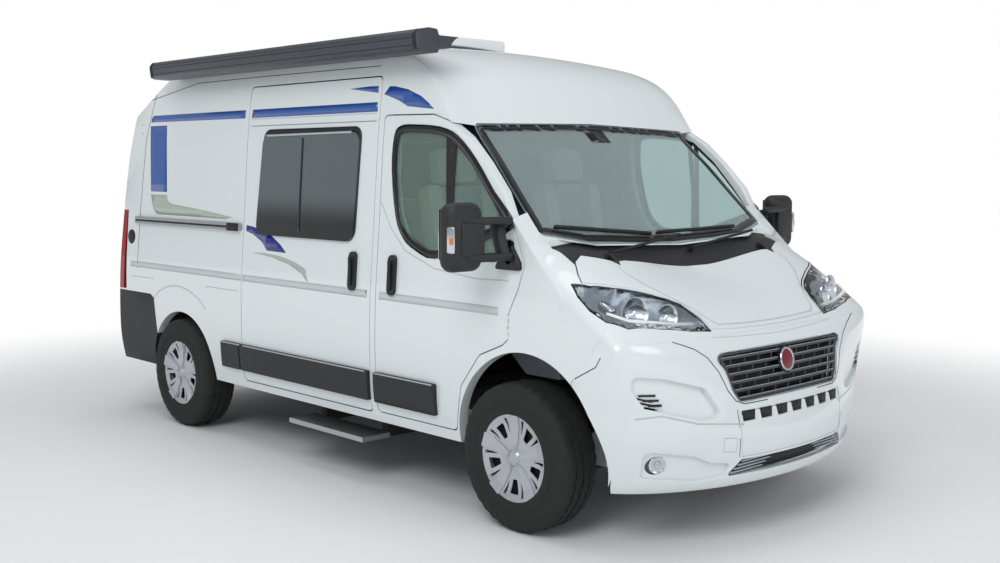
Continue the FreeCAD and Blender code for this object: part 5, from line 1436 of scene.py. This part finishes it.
FLOOR_RADIUS = 60.0
FLOOR_STEPS = 96
FADE_START = 3.0
FADE_STOP = 6.5
WORLD_STRENGTH = 0.48
SOFTBOXES = (("key_softbox", (4.5, -7.5, 7.0), (0.3, 0, 1.0), 5.0, 330.0),
             ("front_softbox", (9.0, 1.0, 4.5), (0.5, 0, 1.0), 4.0, 110.0),
             ("top_softbox", (-1.0, -1.0, 8.5), (-0.5, 0, 1.0), 6.0, 150.0))


def camera():
    """The photograph's own viewpoint."""
    flat = math.cos(CAMERA_DIP)
    forward = Vector((math.cos(CAMERA_HEADING) * flat, math.sin(CAMERA_HEADING) * flat,
                      -math.sin(CAMERA_DIP)))
    right = forward.cross(Vector((0, 0, 1))).normalized()
    up = right.cross(forward)
    rolled = right * math.cos(CAMERA_ROLL) + up * math.sin(CAMERA_ROLL)
    raised = up * math.cos(CAMERA_ROLL) - right * math.sin(CAMERA_ROLL)
    made = bpy.data.objects.new("photo_camera", bpy.data.cameras.new("photo_camera"))
    bpy.context.scene.collection.objects.link(made)
    made.data.lens = CAMERA_LENS
    made.data.sensor_width = CAMERA_SENSOR
    made.data.clip_end = CAMERA_REACH
    turn = Matrix((rolled, raised, -forward)).transposed()
    made.matrix_world = Matrix.Translation(CAMERA_PLACE) @ turn.to_4x4()
    bpy.context.scene.camera = made


def floor():
    """A pale floor that turns to plain white away from the van."""
    bm = bmesh.new()
    bmesh.ops.create_circle(bm, cap_ends=True, segments=FLOOR_STEPS, radius=FLOOR_RADIUS)
    mesh = bpy.data.meshes.new("studio_floor")
    bm.to_mesh(mesh)
    bm.free()
    made = bpy.data.objects.new("studio_floor", mesh)
    bpy.context.scene.collection.objects.link(made)
    finish, tree, node = material("pale_studio_floor", "#F1F2F3", Roughness=0.8)
    vary(tree, node, grain(tree, 900.0), "#EFF0F1", "#F4F5F6")
    place = add(tree, "ShaderNodeTexCoord")
    reach = add(tree, "ShaderNodeVectorMath", {0: place.outputs["Object"]}, operation="LENGTH")
    fade = add(tree, "ShaderNodeMapRange",
               {"Value": reach.outputs["Value"], "From Min": FADE_START, "From Max": FADE_STOP,
                "To Min": 0.0, "To Max": 1.0},
               interpolation_type="SMOOTHSTEP")
    glow = add(tree, "ShaderNodeEmission", {"Color": srgb("#FFFFFF"), "Strength": 1.0})
    mix = add(tree, "ShaderNodeMixShader",
              {0: fade.outputs["Result"], 1: node.outputs[0], 2: glow.outputs[0]})
    tree.links.new(mix.outputs[0], tree.nodes["Material Output"].inputs["Surface"])
    mesh.materials.append(finish)


def softbox(name, place, aim, size, power):
    """A round area lamp turned towards a point."""
    data = bpy.data.lights.new(name, "AREA")
    data.shape = "DISK"
    data.size = size
    data.energy = power
    made = bpy.data.objects.new(name, data)
    bpy.context.scene.collection.objects.link(made)
    made.location = place
    made.rotation_mode = "QUATERNION"
    made.rotation_quaternion = (Vector(aim) - Vector(place)).to_track_quat("-Z", "Y")


def world():
    """Soft light from all round, seen as plain white by the camera and through the glass."""
    made = bpy.data.worlds.new("soft_studio")
    bpy.context.scene.world = made
    made.use_nodes = True
    tree = made.node_tree
    ground = tree.nodes["Background"]
    ground.inputs["Color"].default_value = srgb("#F2F5F9")
    ground.inputs["Strength"].default_value = WORLD_STRENGTH
    seen = add(tree, "ShaderNodeBackground", {"Color": srgb("#FFFFFF"), "Strength": 1.0})
    rays = add(tree, "ShaderNodeLightPath")
    shown = add(tree, "ShaderNodeMath",
                {0: rays.outputs["Is Camera Ray"], 1: rays.outputs["Is Transmission Ray"]},
                operation="MAXIMUM")
    mix = add(tree, "ShaderNodeMixShader", {0: shown.outputs[0], 1: ground.outputs[0], 2: seen.outputs[0]})
    tree.links.new(mix.outputs[0], tree.nodes["World Output"].inputs["Surface"])


camera()
floor()
world()
for name, place, aim, size, power in SOFTBOXES:
    softbox(name, place, aim, size, power)
bpy.context.scene.view_settings.view_transform = "Standard"
